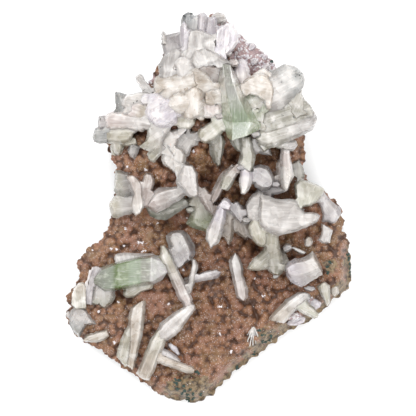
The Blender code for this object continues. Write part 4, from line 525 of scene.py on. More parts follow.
            (26, -9, 31), (27, -27, 25), [(22.8, -6), (27.6, -7), (28.3, -14), (29, -18), (30.1, -20.6),
            (30.3, -25), (28.6, -27.2), (25.4, -26.6), (23, -24), (22, -16)], 2.4, 0.36, 0.08)),
        "low_grey_lobe": (("green_grey", "dome", "green_cream"), crystal(
            (23, -19, 28), (16, -24, 24), [(22.4, -16.2), (25, -18.6), (24.8, -24), (22, -24.8),
            (18.4, -25.2), (15.3, -24.5), (16.3, -22), (18.6, -19.6)], 1.8, 0.36)),
    }),
    "long_white_blade": ("white_stilbite", {
        "long_white_blade": (("pink", "blade", "bright"), crystal(
            (30.6, 26, 38), (30.6, 6.4, 36), [(28.7, 25.4), (32.2, 26.2), (32.4, 21.5), (34, 12.4),
            (32.6, 10), (31.6, 7.2), (30.4, 6.4), (29.4, 8), (28.8, 11), (28.4, 18)], 2.2, 0.4, 0.1,
            0.2)),
        "pink_sliver": (("pink_grey", "blade"), crystal(
            (27.8, 20, 33), (28.4, 7, 32), [(28.8, 20.4), (27, 18), (26.6, 10.5), (28, 8.6), (30, 6.8),
            (30, 12)], 1.2, 0.4, 0.1)),
        "shaded_sliver": (("lilac_grey", "blade"), crystal(
            (30, 7.4, 31), (21.4, 6.2, 29), [(31, 8.6), (26, 8.8), (23.5, 7.4), (21.2, 6.2), (24, 4.9),
            (27.5, 5.4), (30.6, 6.4)], 1.2, 0.4, 0.1)),
    }),
    "right_edge_crystals": ("white_stilbite", {
        "green_white_edge_crystal": (("green_white", "lobe"), crystal(
            (37, 1, 31), (40, 11, 28.5), [(36.4, 0.3), (34.6, 4.4), (34.1, 9.8), (36.4, 11.5),
            (39.6, 10.9), (43.2, 9.5), (46.7, 7.4), (45.4, 5), (43.6, 2.6), (40.4, 0.6)], 2.6, 0.3, 0.16,
            0.2)),
        "lilac_shoulder": (("lilac_grey", "dome"), crystal(
            (43, 6, 26.5), (49.5, -6.5, 24), [(41.8, 7.3), (44.8, 8.1), (47.9, 4.2), (51, 1.2),
            (52.9, 0.4), (53.1, -2.7), (50.4, -6.4), (47.6, -5.6), (45.2, -5.6), (45.6, -1.9),
            (44.1, 1.9), (41.8, 2.6)], 1.6, 0.3, 0.12)),
        "clear_edge_crystal": (("green_grey", "glassy"), crystal(
            (36, 11, 28), (35.6, 19.6, 26), [(34, 12.4), (33.8, 18.6), (36.2, 19.4), (37.8, 16.2),
            (38.7, 12.4), (36.6, 10.6)], 1.8, 0.4, 0.2)),
    }),
    "white_block_crystal": ("lilac_stilbite", {
        "white_block_crystal": (("bright", "blade", "lilac"), crystal(
            (44.6, -22.6, 26), (31, -26.4, 27), [(41.8, -17.1), (40, -18.4), (37.5, -20), (34.6, -20),
            (31.6, -21.6), (30.3, -23.4), (31, -27), (33, -29.8), (37.2, -31.7), (40, -30), (45.7, -26.6),
            (44.4, -23.2), (43, -20.2)], 4.2, 0.5, 0.14, -0.25)),
    }),
    "zigzag_blades": ("cream_stilbite", {
        "first_zigzag_blade": (("green_cream", "sheaf", "pink"), crystal(
            (-18.6, -15, 22), (-8.4, -38.4, 23), [(-19.4, -15.2), (-17.6, -14.8), (-15, -18.6),
            (-12, -25), (-8.4, -32), (-6.2, -36.6), (-7, -38.6), (-9.8, -38.8), (-11.8, -37),
            (-15, -29.4), (-18.2, -22), (-19.3, -18.6)], 2.2, 0.46, 0.03, 0.15)),
        "thin_cross_blade": (("soft_white", "sheaf"), crystal(
            (-5.9, -20.4, 23), (-7.6, -34, 22), [(-6.6, -20.6), (-5.2, -20.4), (-4, -23), (-4.8, -27),
            (-5.8, -31), (-6.8, -34.2), (-8.9, -32), (-8.2, -28.6), (-7, -24.6)], 1.8, 0.5, 0.04)),
        "thin_lilac_blade": (("lilac_grey", "sheaf"), crystal(
            (-5.8, -28.8, 21.5), (5.2, -26, 22), [(-5.4, -27.6), (-3, -25.8), (1, -24.7), (3.6, -24.5),
            (5.4, -26), (3.6, -28.2), (0, -28.9), (-5.8, -30)], 1.8, 0.5, 0.06, 0.2)),
        "second_zigzag_blade": (("white", "sheaf"), crystal(
            (-6.6, -38.8, 23.5), (-19.4, -51, 22.5), [(-9.6, -39.2), (-7.4, -37.8), (-5.2, -38.8),
            (-5.2, -40.6), (-7, -43), (-11, -49), (-14, -51.6), (-16.6, -53.2), (-19.4, -52.6),
            (-20.8, -49.4), (-19.4, -46), (-14.4, -42.2)], 2.4, 0.4, 0.05)),
        "third_zigzag_blade": (("green_cream", "sheaf", "cream"), crystal(
            (-18.8, -49, 22.5), (-25.6, -68.8, 20), [(-20.6, -48.6), (-17.4, -50.6), (-16.8, -53.4),
            (-19.2, -59), (-20.4, -62), (-21.6, -65.6), (-24, -69.3), (-26.6, -68.6), (-29.2, -66.4),
            (-26.6, -61), (-25.4, -57), (-22.6, -51.6)], 2.2, 0.4, 0.05)),
        "cream_lower_blade": (("warm_cream", "sheaf"), crystal(
            (-21, -59.4, 20.5), (-5.6, -65.4, 19.5), [(-21.4, -58.2), (-18.4, -58.4), (-14, -60.6),
            (-6.4, -63.4), (-5.1, -64.6), (-5.8, -66.3), (-8, -66.5), (-12, -65.2), (-19.6, -62.4)], 2,
            0.5, 0.05, 0.1)),
        "upper_side_blade": (("lilac_grey", "sheaf"), crystal(
            (-19, -57, 20), (-11.4, -61, 19), [(-19, -56), (-16, -57), (-12.6, -59.2), (-11, -61.3),
            (-14, -60.8), (-18.8, -58.8)], 1.4, 0.4, 0.05)),
    }),
    "corner_crystals": ("grey_stilbite", {
        "grey_block_crystal": (("green_grey", "matte", "beige"), crystal(
            (-51, -41, 21), (-52, -29.5, 21), [(-54.9, -35), (-54, -32), (-52, -30), (-50.2, -29.5),
            (-48.9, -31), (-48.8, -35), (-48.8, -40.6), (-53, -41), (-54.9, -38.8)], 2.4, 0.26)),
        "blue_white_crystal": (("white", "glassy", "blue_grey"), crystal(
            (-49, -42, 20.5), (-53, -50.5, 18.5), [(-53.8, -39.8), (-51, -39.6), (-48.8, -41),
            (-47.2, -43.4), (-44.7, -46.6), (-49, -47), (-50.6, -50), (-51.6, -52.1), (-54, -50),
            (-55.5, -47.4), (-56, -44), (-55.2, -41.2)], 2.4, 0.34)),
    }),
    "small_stub_crystal": ("white_stilbite", {
        "small_stub_crystal": (("cream", "blade"), crystal(
            (40, -11.4, 24), (40, -15.7, 22.6), [(38.4, -15.2), (38.5, -12.6), (39.6, -11.4),
            (41.2, -11.7), (41.8, -13.6), (41, -15.4), (39.6, -15.8)], 1.2, 0.4)),
    }),
    "thin_sliver_crystal": ("white_stilbite", {
        "thin_sliver_crystal": (("white", "blade"), crystal(
            (39.6, -18.2, 21.6), (34, -15.8, 20.6), [(34, -15.5), (35.8, -15.9), (38, -17.2),
            (39.4, -17.7), (38, -18.8), (36, -18.1), (34.3, -16.8)], 1.0, 0.4, 0.1)),
    }),
    "lilac_stub_crystal": ("lilac_stilbite", {
        "lilac_stub_crystal": (("lilac_grey", "blade"), crystal(
            (33.4, -15.6, 22), (29.6, -17, 21), [(29.6, -15.8), (31, -14.1), (33, -14.6), (33.7, -16.2),
            (32, -17.7), (30, -17.9)], 1.2, 0.4, 0.2)),
    }),
    "white_stub_crystal": ("white_stilbite", {
        "white_stub_crystal": (("white", "blade"), crystal(
            (47, -6, 25.5), (46.4, -14.2, 23.5), [(45, -6), (48, -7.4), (49.7, -9), (49.2, -11),
            (48.6, -14), (46, -14.3), (43.6, -13), (45.2, -10.4)], 1.8, 0.4, 0.12)),
    }),
    "pale_lilac_blade": ("lilac_stilbite", {
        "pale_lilac_blade": (("pink", "lobe", "lilac"), crystal(
            (14.4, 49, 41), (13, 59.4, 38), [(13.2, 49), (10, 56), (10.6, 58), (12.1, 59.2), (13.8, 59.4),
            (15.2, 58.2), (16.8, 53.5), (16.6, 49)], 1.8, 0.4)),
    }),
    "grey_finger_blade": ("grey_stilbite", {
        "grey_finger_blade": (("grey", "matte"), crystal(
            (-22.6, 45.4, 34), (-28.6, 53.4, 31), [(-22.4, 45), (-22.4, 47.8), (-25.4, 51), (-26.4, 53.2),
            (-27.4, 53.7), (-29.4, 52.2), (-28.8, 50.8), (-26.2, 46.2)], 2, 0.4, 0.1)),
    }),
    "small_corner_blade": ("grey_stilbite", {
        "small_corner_blade": (("beige", "sheaf"), crystal(
            (-41, -50, 18.5), (-50.6, -53, 18), [(-50.7, -53.6), (-49, -50.6), (-44, -49.4),
            (-40.6, -48.5), (-39.7, -51.4), (-42, -53.1), (-45, -54.1)], 1.8, 0.44, 0.08)),
    }),
    "clear_grey_crystal": ("grey_stilbite", {
        "clear_grey_crystal": (("soft_white", "glassy", "lilac_grey"), crystal(
            (-13.4, -9.8, 21), (-9, -22.4, 19), [(-17.3, -11.2), (-15.4, -9.6), (-12, -8.7), (-10, -8.8),
            (-8.4, -10.2), (-6.8, -12.6), (-5.4, -15.6), (-5.2, -18.4), (-6.6, -20.6), (-9.6, -22.6),
            (-11.4, -24.5), (-13.6, -22.4), (-15.8, -16.4)], 2.8, 0.44, 0.14, 0.1)),
    }),
    "isolated_blade": ("cream_stilbite", {
        "isolated_blade": (("soft_white", "blade", "pink"), crystal(
            (10.6, -18, 20.5), (13.6, -37.2, 22), [(10.8, -17.6), (9, -19.4), (8.1, -21.4), (8.5, -24),
            (10, -30.4), (11.2, -35.8), (13.6, -37.3), (14.8, -37.3), (16, -35.4), (16, -33.4), (14, -27),
            (13.8, -23), (12.6, -19.8)], 2.4, 0.42, 0.05)),
    }),
    "long_blade_pair": ("cream_stilbite", {
        "long_blade": (("cream", "sheaf"), crystal(
            (-28.4, -38, 21.5), (-31.2, -64.6, 19.5), [(-31, -39.6), (-28.4, -38), (-25, -36.9),
            (-25.4, -43), (-26, -49), (-28.6, -59.6), (-30.2, -65.1), (-32.8, -63.2), (-31.8, -56),
            (-31.8, -50), (-32.3, -44)], 2.4, 0.42, 0.03, -0.1)),
        "long_blade_side": (("green_cream", "sheaf"), crystal(
            (-31.6, -47, 20), (-35.4, -61.4, 18), [(-32.4, -47), (-30.6, -50), (-30.8, -58), (-31.4, -63),
            (-33.6, -63.8), (-37, -59.4), (-36.4, -56.4), (-35, -52)], 1.8, 0.42, 0.06)),
    }),
    "striated_sheaf": ("cream_stilbite", {
        "striated_sheaf": (("grey", "sheaf", "cream"), crystal(
            (39, -34.6, 22), (27.4, -45.4, 20.5), [(36, -33.6), (38.6, -33.6), (40.8, -34.6), (41, -36),
            (36, -39.9), (31.8, -44.6), (30.2, -46.3), (27.2, -45.8), (24, -44.8), (25.2, -42.6),
            (31, -36.6)], 2.6, 0.42, 0.06)),
        "crossing_green_blade": (("green_white", "sheaf"), crystal(
            (36.2, -39.6, 21), (43.6, -43.4, 20), [(34.6, -40), (37, -37.2), (39.6, -37.5), (41.8, -39.4),
            (44.4, -42.2), (44.1, -43.8), (42.6, -44.5), (39.6, -43.2), (36.6, -41.8)], 2, 0.46, 0.06)),
    }),
    "edge_blade": ("cream_stilbite", {
        "edge_blade": (("green_cream", "blade"), crystal(
            (46, -30, 20), (47.8, -39, 18), [(46.6, -29.5), (48.6, -31), (49, -34), (48.8, -38.2),
            (47.3, -39.6), (45, -34.6), (43.4, -31.6), (44.6, -30.4)], 1.8, 0.44, 0.06)),
    }),
    "pearly_side_crystals": ("lilac_stilbite", {
        "green_white_under_crystal": (("white", "glassy", "green_white"), crystal(
            (-42, -31, 20), (-42, -40, 18), [(-46.4, -30.6), (-38, -31), (-37.2, -35.6), (-38.6, -38.2),
            (-41.6, -40.3), (-43.4, -39.6), (-44.6, -38.4), (-46, -39.2), (-47.2, -36)], 2, 0.36, 0.1)),
        "pearly_sliver": (("lilac_grey", "rough"), crystal(
            (-47.6, -38, 19), (-45, -23.6, 21), [(-46.7, -23.6), (-44, -23.2), (-43, -25.4), (-45, -27.4),
            (-46, -33), (-46.4, -39), (-48.2, -38.8), (-48.5, -34.4), (-48.4, -29)], 1.8, 0.4, 0.04)),
    }),
    "crystal_behind_prism": ("grey_stilbite", {
        "crystal_behind_prism": (("soft_white", "lobe"), crystal(
            (-29, -20.6, 19.5), (-29, -18, 19), [(-38, -20), (-37.4, -18.4), (-34, -17.8), (-28, -18.1),
            (-21.5, -18.2), (-21, -21), (-30, -23), (-37, -24)], 1.6, 0.1, 0.4)),
    }),
    "crystal_below_prism": ("grey_stilbite", {
        "crystal_below_prism": (("green_cream", "lobe"), crystal(
            (-24, -31, 18.6), (-32, -35.4, 18), [(-34.5, -34.8), (-33, -30), (-21.6, -29.6),
            (-22.4, -32.4), (-27, -33.7), (-30, -36.1), (-33, -36)], 1.8, 0.3, 0.2)),
    }),
}


def smooth_step(low, high, values):
    """From 0 at the low value to 1 at the high one, with soft ends."""
    share = np.clip((values - low) / (high - low), 0.0, 1.0)
    return share * share * (3.0 - 2.0 * share)


def waves(x, y, length, seed, count=7):
    """Irregular smooth values, mostly from -1 to 1, whose bumps are about that length."""
    draw = random.Random(seed)
    total = np.zeros(np.shape(x))
    for _ in range(count):
        angle = draw.uniform(0.0, math.tau)
        size = length * draw.uniform(0.65, 1.7)
        phase = draw.uniform(0.0, math.tau)
        total += np.sin((x * math.cos(angle) + y * math.sin(angle)) * math.tau / size + phase)
    return total / math.sqrt(count)


def grooves(across, pitch, seed):
    """Ridges and grooves side by side, of uneven width, from 0 to 1."""
    draw = random.Random(seed)
    total = np.zeros(np.shape(across))
    for size in (1.0, 0.53, 0.31):
        phase = draw.uniform(0.0, math.pi)
        total += size * np.abs(np.sin(across * math.pi / (pitch * size) + phase))
    return total / 1.84


def signed_area(points):
    x, y = points[:, 0], points[:, 1]
    return 0.5 * float(np.sum(x * np.roll(y, -1) - y * np.roll(x, -1)))


def counter_clockwise(points):
    points = np.array(points, float)
    return points if signed_area(points) > 0 else points[::-1].copy()


def cut_corners(points, share, times=2):
    """A closed outline, in plan or in space, with each corner cut off that often."""
    for _ in range(times):
        following = np.roll(points, -1, axis=0)
        near = points * (1.0 - share) + following * share
        far = points * share + following * (1.0 - share)
        points = np.stack([near, far], axis=1).reshape(-1, points.shape[1])
    return points


def evenly(points, step):
    """Points along a closed outline, that far apart."""
    closed = np.vstack([points, points[:1]])
    reached = np.concatenate([[0.0], np.cumsum(np.hypot(*np.diff(closed, axis=0).T))])
    count = max(16, int(reached[-1] / step))
    places = np.linspace(0.0, reached[-1], count, endpoint=False)
    return np.stack([np.interp(places, reached, closed[:, i]) for i in (0, 1)], axis=1)


def distance_to_outline(x, y, outline):
    """Distance from each point to a closed outline."""
    points = np.stack([x, y], axis=-1)
    best = np.full(np.shape(x), 1e9)
    for start, stop in zip(outline, np.roll(outline, -1, axis=0)):
        along = stop - start
        share = np.clip(((points - start) @ along) / (along @ along), 0.0, 1.0)
        near = start + share[..., None] * along
        best = np.minimum(best, np.hypot(*np.moveaxis(points - near, -1, 0)))
    return best


def inside(x, y, outline):
    """Whether each point lies inside a closed outline."""
    result = np.zeros(np.shape(x), bool)
    for (x0, y0), (x1, y1) in zip(outline, np.roll(outline, -1, axis=0)):
        if y0 != y1:
            crossing = x0 + (x1 - x0) * (y - y0) / (y1 - y0)
            result ^= ((y0 > y) != (y1 > y)) & (x < crossing)
    return result


# Values that each point of a crystal has: name, type, kind of value and how many numbers
SURFACE_LAYERS = [
    ("tone", "FLOAT_COLOR", "color", 4), ("edge", "FLOAT", "value", 1), ("clear", "FLOAT", "value", 1),
    ("grain", "FLOAT_VECTOR", "vector", 3),
]
CLEAR_COLUMN = 5         # where clear stands among them
SEAM_STEPS = 6           # how many points deep a seam is healed


def write_layers(mesh, values):
    """Sets the surface values of each point, from one row of numbers for each."""
    start = 0
    for name, kind, key, width in SURFACE_LAYERS:
        if name not in mesh.attributes:
            mesh.attributes.new(name, kind, "POINT")
        part = np.ascontiguousarray(values[:, start:start + width], np.float32)
        mesh.attributes[name].data.foreach_set(key, part.ravel())
        start += width


def read_layers(mesh):
    """The surface values of each point, in one row of numbers for each."""
    parts = []
    for name, _, key, width in SURFACE_LAYERS:
        part = np.zeros(len(mesh.vertices) * width, np.float32)
        mesh.attributes[name].data.foreach_get(key, part)
        parts.append(part.reshape(-1, width))
    return np.hstack(parts)


def surfaced_mesh(name, bodies):
    """One mesh of several bodies, with the tone and the other surface values of each point."""
    mesh = bpy.data.meshes.new(name)
    faces = []
    slots = []
    count = 0
    for points, _, body_faces, slot in bodies:
        faces += [tuple(i + count for i in face) for face in body_faces]
        slots += [slot] * len(body_faces)
        count += len(points)
    points = np.clip(np.vstack([body[0] for body in bodies]) * MM, *CAD_BOX)
    mesh.from_pydata(points.tolist(), [], faces)
    mesh.polygons.foreach_set("material_index", slots)
    write_layers(mesh, np.vstack([body[1] for body in bodies]))
    mesh.validate()
    return mesh


def union_mesh(name, bodies):
    """The bodies joined into one closed surface with nothing left inside it."""
    helpers = bpy.data.collections.new("helpers")
    bpy.context.scene.collection.children.link(helpers)
    objects = [bpy.data.objects.new(name, surfaced_mesh(name, [body])) for body in bodies]
    bpy.context.scene.collection.objects.link(objects[0])
    for obj in objects[1:]:
        helpers.objects.link(obj)
    modifier = objects[0].modifiers.new("union", "BOOLEAN")
    modifier.operation = "UNION"
    modifier.operand_type = "COLLECTION"
    modifier.collection = helpers
    modifier.solver = "MANIFOLD"
    bpy.context.view_layer.update()
    evaluated = objects[0].evaluated_get(bpy.context.evaluated_depsgraph_get())
    result = bpy.data.meshes.new_from_object(evaluated)
    for obj in objects:
        bpy.data.meshes.remove(obj.data)
    bpy.data.collections.remove(helpers)
    heal_seams(result)
    return result


def heal_seams(mesh):
    """The points where two bodies meet have no values of their own and take their neighbours'."""
    ends = np.zeros(len(mesh.edges) * 2, np.int32)
    mesh.edges.foreach_get("vertices", ends)
    first, second = ends.reshape(-1, 2).T
    values = read_layers(mesh)
    known = values[:, CLEAR_COLUMN] > 0.0
    for _ in range(SEAM_STEPS):
        total = np.zeros_like(values)
        number = np.zeros(len(values))
        for point, neighbour in ((first, second), (second, first)):
            near = known[neighbour]
            np.add.at(total, point[near], values[neighbour[near]])
            np.add.at(number, point[near], 1.0)
        fresh = ~known & (number > 0.0)
        values[fresh] = total[fresh] / number[fresh][:, None]
        known |= fresh
    write_layers(mesh, values)


def add_object(name, data):
    obj = bpy.data.objects.new(name, data)
    bpy.context.scene.collection.objects.link(obj)
    return obj


class Piece:
    """One visible piece, gathered body by body."""

    def __init__(self, name):
        self.name = name
        self.bodies = []

    def add(self, points, faces, tone, looks, slot=0):
        """looks holds each point's edge share, clearness and place along and across, in mm."""
        tones = np.asarray(tone, float)
        if tones.ndim == 1:
            tones = np.tile(np.append(tones, 1.0), (len(points), 1))
        self.bodies.append((np.asarray(points, float), np.hstack([tones, looks]), faces, slot))

    def make(self, materials, node_names, smooth_angle=32.0, joined=True):
        several = joined and len(self.bodies) > 1
        mesh = (union_mesh if several else surfaced_mesh)(self.name, self.bodies)
        while mesh.materials:
            mesh.materials.pop()
        for material in materials:
            mesh.materials.append(material)
        mesh.update()
        mesh.shade_smooth()
        mesh.set_sharp_from_angle(angle=math.radians(smooth_angle))
        obj = add_object(self.name, mesh)
        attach(obj, "root")
        if node_names:
            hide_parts(*node_names)
        return obj


def loft_faces(ring_count, ring_size):
    """Faces between neighbouring rings, from the lowest up, with both ends closed."""
    faces = []
    for ring in range(ring_count - 1):
        low = ring * ring_size
        high = low + ring_size
        for i in range(ring_size):
            j = (i + 1) % ring_size
            faces.append((low + i, low + j, high + j, high + i))
    faces.append(tuple(range(ring_size - 1, -1, -1)))
    top = (ring_count - 1) * ring_size
    faces.append(tuple(range(top, top + ring_size)))
    return faces


def worn_height(x, y):
    """Height of the rock before its crust, as in the solid."""
    x, y = np.asarray(x, float), np.asarray(y, float)
    blend = smooth_step(*STEP_WIDENS, x)
    middle = STEP_PLACE - STEP_SHIFT * blend
    half_width = STEP_HALF + STEP_GROWTH * blend
    share = np.clip((y - middle + half_width) / (2.0 * half_width), 0.0, 1.0)
    height = SLAB_TOP + STEP_RISE * share * share * (3.0 - 2.0 * share)
    height = height + MOUND_RISE * bell(x, y, MOUND_PLACE, MOUND_SPREAD)
    height = height + RIGHT_RISE * bell(x, y, RIGHT_PLACE, RIGHT_SPREAD)
    rim_distance = distance_to_outline(x, y, np.array(RIM, float))
    broken = broken_share(x, y) * (1.0 - smooth_step(0.0, BREAK_BAND, rim_distance))
    height = height - EDGE_DROP * (1.0 - smooth_step(0.0, EDGE_BAND, rim_distance))
    return height - BREAK_DROP * broken


def broken_share(x, y):
    """How far a point lies on the broken lower right side, from 0 to 1."""
    return smooth_step(0.0, BREAK_FADE, x * BREAK_SIDE[0] + y * BREAK_SIDE[1] - BREAK_START)


def bell(x, y, place, spread):
    return np.exp(-((x - place[0]) / spread[0]) ** 2 - ((y - place[1]) / spread[1]) ** 2)


class Axes:
    """A crystal's directions in plan, along and across it, and its tilted middle plane."""

    def __init__(self, spec):
        self.root = np.array(spec["root"], float)
        step = np.array(spec["tip"], float) - self.root
        self.length = math.hypot(step[0], step[1])
        self.along = step[:2] / self.length
        self.across = np.array((-self.along[1], self.along[0]))
        self.slope = step[2] / self.length
        self.roll = spec["roll"]

    def local(self, points):
        offset = points - self.root[:2]
        return offset @ self.along, offset @ self.across

    def height(self, points):
        u, v = self.local(points)
        return self.root[2] + self.slope * u + self.roll * v


def squeezed(axes, points, side, end, shift=0.0, slide=0.0):
    """The outline drawn in towards its middle, across and along, and moved by a share of each."""
    centre = points.mean(axis=0)
    u = (points - centre) @ axes.along
    v = (points - centre) @ axes.across
    u = u * end + slide * np.abs(u).max()
    v = v * side + shift * np.abs(v).max()
    return centre + np.outer(u, axes.along) + np.outer(v, axes.across)


def fan_out(axes, u, v):
    """The place across the crystal, measured as if its striations ran parallel."""
    return v / (FLARE + (1.0 - FLARE) * np.clip(u / axes.length, 0.0, 1.2))


def roughened(axes, outline, kind, seed):
    """The outline with an uneven tip and slightly uneven sides."""
    u, v = axes.local(outline)
    at_tip = smooth_step(0.6 * axes.length, 0.95 * axes.length, u)
    push = kind["ragged"] * at_tip * (grooves(v, kind["pitch"], seed) - 0.75)
    sway = 0.10 * waves(u, v, 2.4, seed + 1)
    return outline + np.outer(push, axes.along) + np.outer(sway, axes.across)


def terraces(u, v, length, seed):
    """Growth steps that run along a crystal: whole steps with narrow risers."""
    field = 1.5 * waves(u * 0.3, v, length, seed)
    step = np.floor(field)
    return step + smooth_step(0.3, 0.7, field - step)


def covers_of(specs, prisms):
    """What a crystal may reach under: each crystal's outline, box, axes and rise."""
    covers = []
    for spec in specs:
        outline = np.array(spec["outline"], float)
        covers.append((spec, outline, outline.min(axis=0), outline.max(axis=0), Axes(spec), max(TUCKS)))
    for prism in prisms:
        sections = np.array(prism, float)
        outline = np.vstack([sections[:, 0, :2], sections[::-1, 3, :2]])
        high = crystal((*sections[0, 1, :2], 99.0), (*sections[-1, 1, :2], 99.0), outline, 0.0)
        covers.append((high, outline, outline.min(axis=0), outline.max(axis=0), Axes(high), PRISM_TUCK))
    return covers


def tucked_under(axes, spec, outline, covers, bridged):
    """The outline, pushed out where a higher neighbour covers it, so that no groove is left."""
    ahead = np.roll(outline, -1, axis=0) - np.roll(outline, 1, axis=0)
    outward = np.column_stack([ahead[:, 1], -ahead[:, 0]])
    outward /= np.maximum(np.hypot(*outward.T), 1e-6)[:, None]
    low, high = outline.min(axis=0) - max(TUCKS), outline.max(axis=0) + max(TUCKS)
    near = [cover for cover in covers
            if cover[0] is not spec and np.all(cover[2] < high) and np.all(cover[3] > low)]
    reach = np.zeros(len(outline))
    gap = np.zeros(len(outline), int)
    for step in TUCKS:
        pushed = outline + outward * step
        top = axes.height(pushed) + spec["up"]
        covered = np.zeros(len(outline), bool)
        for other, other_outline, _, _, other_axes, furthest in near:
            if step > furthest:
                continue
            over = inside(pushed[:, 0], pushed[:, 1], other_outline)
            covered |= over & (other_axes.height(pushed) + other["up"] > top + LEAST_COVER)
        reach = np.where(covered & (gap <= bridged), step, reach)
        gap += ~covered
    smooth = reach
    for _ in range(3):
        smooth = np.minimum(reach, (np.roll(smooth, 1) + smooth + np.roll(smooth, -1)) / 3.0)
    return outline + outward * smooth[:, None]


def tones_along(axes, plan, tone):
    """The crystal's colour at each point, which may change from its root to its tip."""
    first, last = np.atleast_2d(tone)[[0, -1]]
    share = smooth_step(0.15, 0.85, axes.local(plan)[0] / axes.length)[:, None]
    return first * (1.0 - share) + last * share


def foot_rings(axes, outline, foot, depth):
    """The crystal's buried foot, from its bottom up."""
    rings = []
    rows = max(2, int(depth / FOOT_STEP))
    for share in np.linspace(1.0, 0.0, rows, endpoint=False):
        plan = outline + (foot - outline) * share
        rise = (axes.height(foot) - depth) * share + axes.height(outline) * (1.0 - share)
        rings.append((plan, rise, 0.0, FOOT_EDGE - FOOT_FADE * share, share))
    return rings


def bevel_rings(axes, outline, top, width, up, roundness):
    """The rounded bevel, from the widest outline up to the top face."""
    rings = []
    rows = max(2, int(width / RING_STEP) + 1)
    for share in np.linspace(0.0, 1.0, rows + 1):
        plan = outline + (top - outline) * share
        rounded = math.sin(share * math.pi / 2.0)
        lift = up * (share + (rounded - share) * roundness)
        rings.append((plan, axes.height(plan) + lift, share, 1.0 - BEVEL_FADE * share, 0.0))
    return rings


def top_rings(axes, top, inner, half_length, up, crown):
    """The uneven top face, from its edge to its middle."""
    rings = []
    rows = max(2, int(inner / RING_STEP))
    for share in np.linspace(0.0, 1.0, rows + 1)[1:]:
        narrow = 1.0 - LAST_RING * share
        shorter = 1.0 - LAST_RING * share * min(1.0, inner / half_length)
        plan = squeezed(axes, top, narrow, shorter)
        lift = up * (1.0 + crown * math.sin(share * math.pi / 2.0))
        rings.append((plan, axes.height(plan) + lift, 1.0, TOP_EDGE * (1.0 - share), 0.0))
    return rings


def foot_depth(axes, centre, up):
    """How far a crystal's foot has to go down to be seated in the rock."""
    rock = float(worn_height(centre[:1], centre[1:])[0])
    return max(up, float(axes.height(centre)) - rock + SEAT)


def add_body(piece, spec, kind, tone, seed, depth=None, covers=(), bridged=0):
    """One crystal: its buried foot, its widest outline, its rounded bevel and its uneven top."""
    axes = Axes(spec)
    outline = evenly(cut_corners(counter_clockwise(spec["outline"]), kind["corner"]), OUTLINE_STEP)
    outline = roughened(axes, outline, kind, seed)
    outline = tucked_under(axes, spec, outline, covers, bridged)
    centre = outline.mean(axis=0)
    up = spec["up"]
    if depth is None:
        depth = foot_depth(axes, centre, up)
    tall = float(smooth_step(TALL[0], TALL[1], np.array(depth)))
    foot = squeezed(axes, outline, FOOT_SIDE, FOOT_END[0] + (FOOT_END[1] - FOOT_END[0]) * tall)
    foot = foot - axes.along * (axes.length * LEAN * tall)
    side = spec["side"] * kind["bevel"]
    top = squeezed(axes, outline, 1.0 - side, 1.0 - spec["end"], spec["ridge"] * side)
    half_width = np.abs((outline - centre) @ axes.across).max()
    half_length = np.abs((outline - centre) @ axes.along).max()
    rings = foot_rings(axes, outline, foot, depth)
    rings += bevel_rings(axes, outline, top, half_width * side, up, kind["round"])
    rings += top_rings(axes, top, half_width * (1.0 - side), half_length, up, kind["crown"])

    points = []
    looks = []
    tones = []
    for plan, rise, free, edge, sunk in rings:
        u, v = axes.local(plan)
        spread = fan_out(axes, u, v)
        uneven = kind["stria"] * (grooves(spread, kind["pitch"], seed + 2) - 0.6)
        uneven = uneven + 0.5 * kind["bump"] * waves(u * 0.6, v, 2.6, seed + 3)
        uneven = uneven + kind["step"] * terraces(u, v, 3.0, seed + 4)
        height = rise + free * uneven
        points.append(np.column_stack([plan, height]))
        count = len(plan)
        looks.append(np.column_stack([
            np.full(count, edge), np.full(count, kind["clear"]), u, spread, height]))
        # darker and browner toward the bottom of the foot: painted shade, with the rock showing through
        tint = 1.0 - sunk + sunk * np.array(FOOT_SHADE_TINT)
        tones.append(np.column_stack([tones_along(axes, plan, tone) * tint, np.ones(count)]))
    faces = loft_faces(len(rings), len(outline))
    piece.add(np.vstack(points), faces, np.vstack(tones), np.vstack(looks))
    return axes, top


def shaded(tone, share):
    return np.minimum(1.0, np.asarray(tone, float) * share)


def add_plates(piece, spec, kind, tone, axes, top, draw, seed):
    """Thin plates stacked on the top face, each a smaller copy of it."""
    thickness = min(0.22, 0.1 * spec["up"])
    for level in range(kind["plates"]):
        wide = draw.uniform(0.35, 0.75)
        long = draw.uniform(0.55, 0.92)
        shift = draw.uniform(-0.9, 0.9) * (1.0 - wide)
        slide = draw.uniform(-0.8, 0.8) * (1.0 - long)
        outline = squeezed(axes, top, wide, long, shift, slide)
        lift = spec["up"] * (1.0 + kind["crown"]) + thickness * 0.6 * level
        plate = dict(spec, outline=outline, up=thickness, side=0.16, end=0.06, ridge=0.0)
        plate["root"] = (*spec["root"][:2], spec["root"][2] + lift)
        plate["tip"] = (*spec["tip"][:2], spec["tip"][2] + lift)
        flatter = dict(kind, round=0.3, bump=kind["bump"] * 0.6, crown=0.3)
        add_body(piece, plate, flatter, shaded(tone, draw.uniform(0.94, 1.08)), seed + 31 * level, 1.0)


def add_grain(piece, centre, size, draw, tone, clear=0.2, slot=0):
    """A small crystal: a double pyramid, turned at random."""
    corners = np.array([(1, 0, 0), (0, 1, 0), (-1, 0, 0), (0, -1, 0), (0, 0, 1), (0, 0, -1)], float)
    corners *= np.asarray(size, float)
    turn = np.array(Vector((0.0, 0.0, 1.0)).rotation_difference(
        Vector((draw.gauss(0, 1), draw.gauss(0, 1), draw.gauss(0, 1)))).to_matrix())
    faces = [(0, 1, 4), (1, 2, 4), (2, 3, 4), (3, 0, 4), (1, 0, 5), (2, 1, 5), (3, 2, 5), (0, 3, 5)]
    points = corners @ turn.T + np.asarray(centre, float)
    looks = np.column_stack([np.full(6, GRAIN_EDGE), np.full(6, clear), corners])
    piece.add(points, faces, tone, looks, slot)


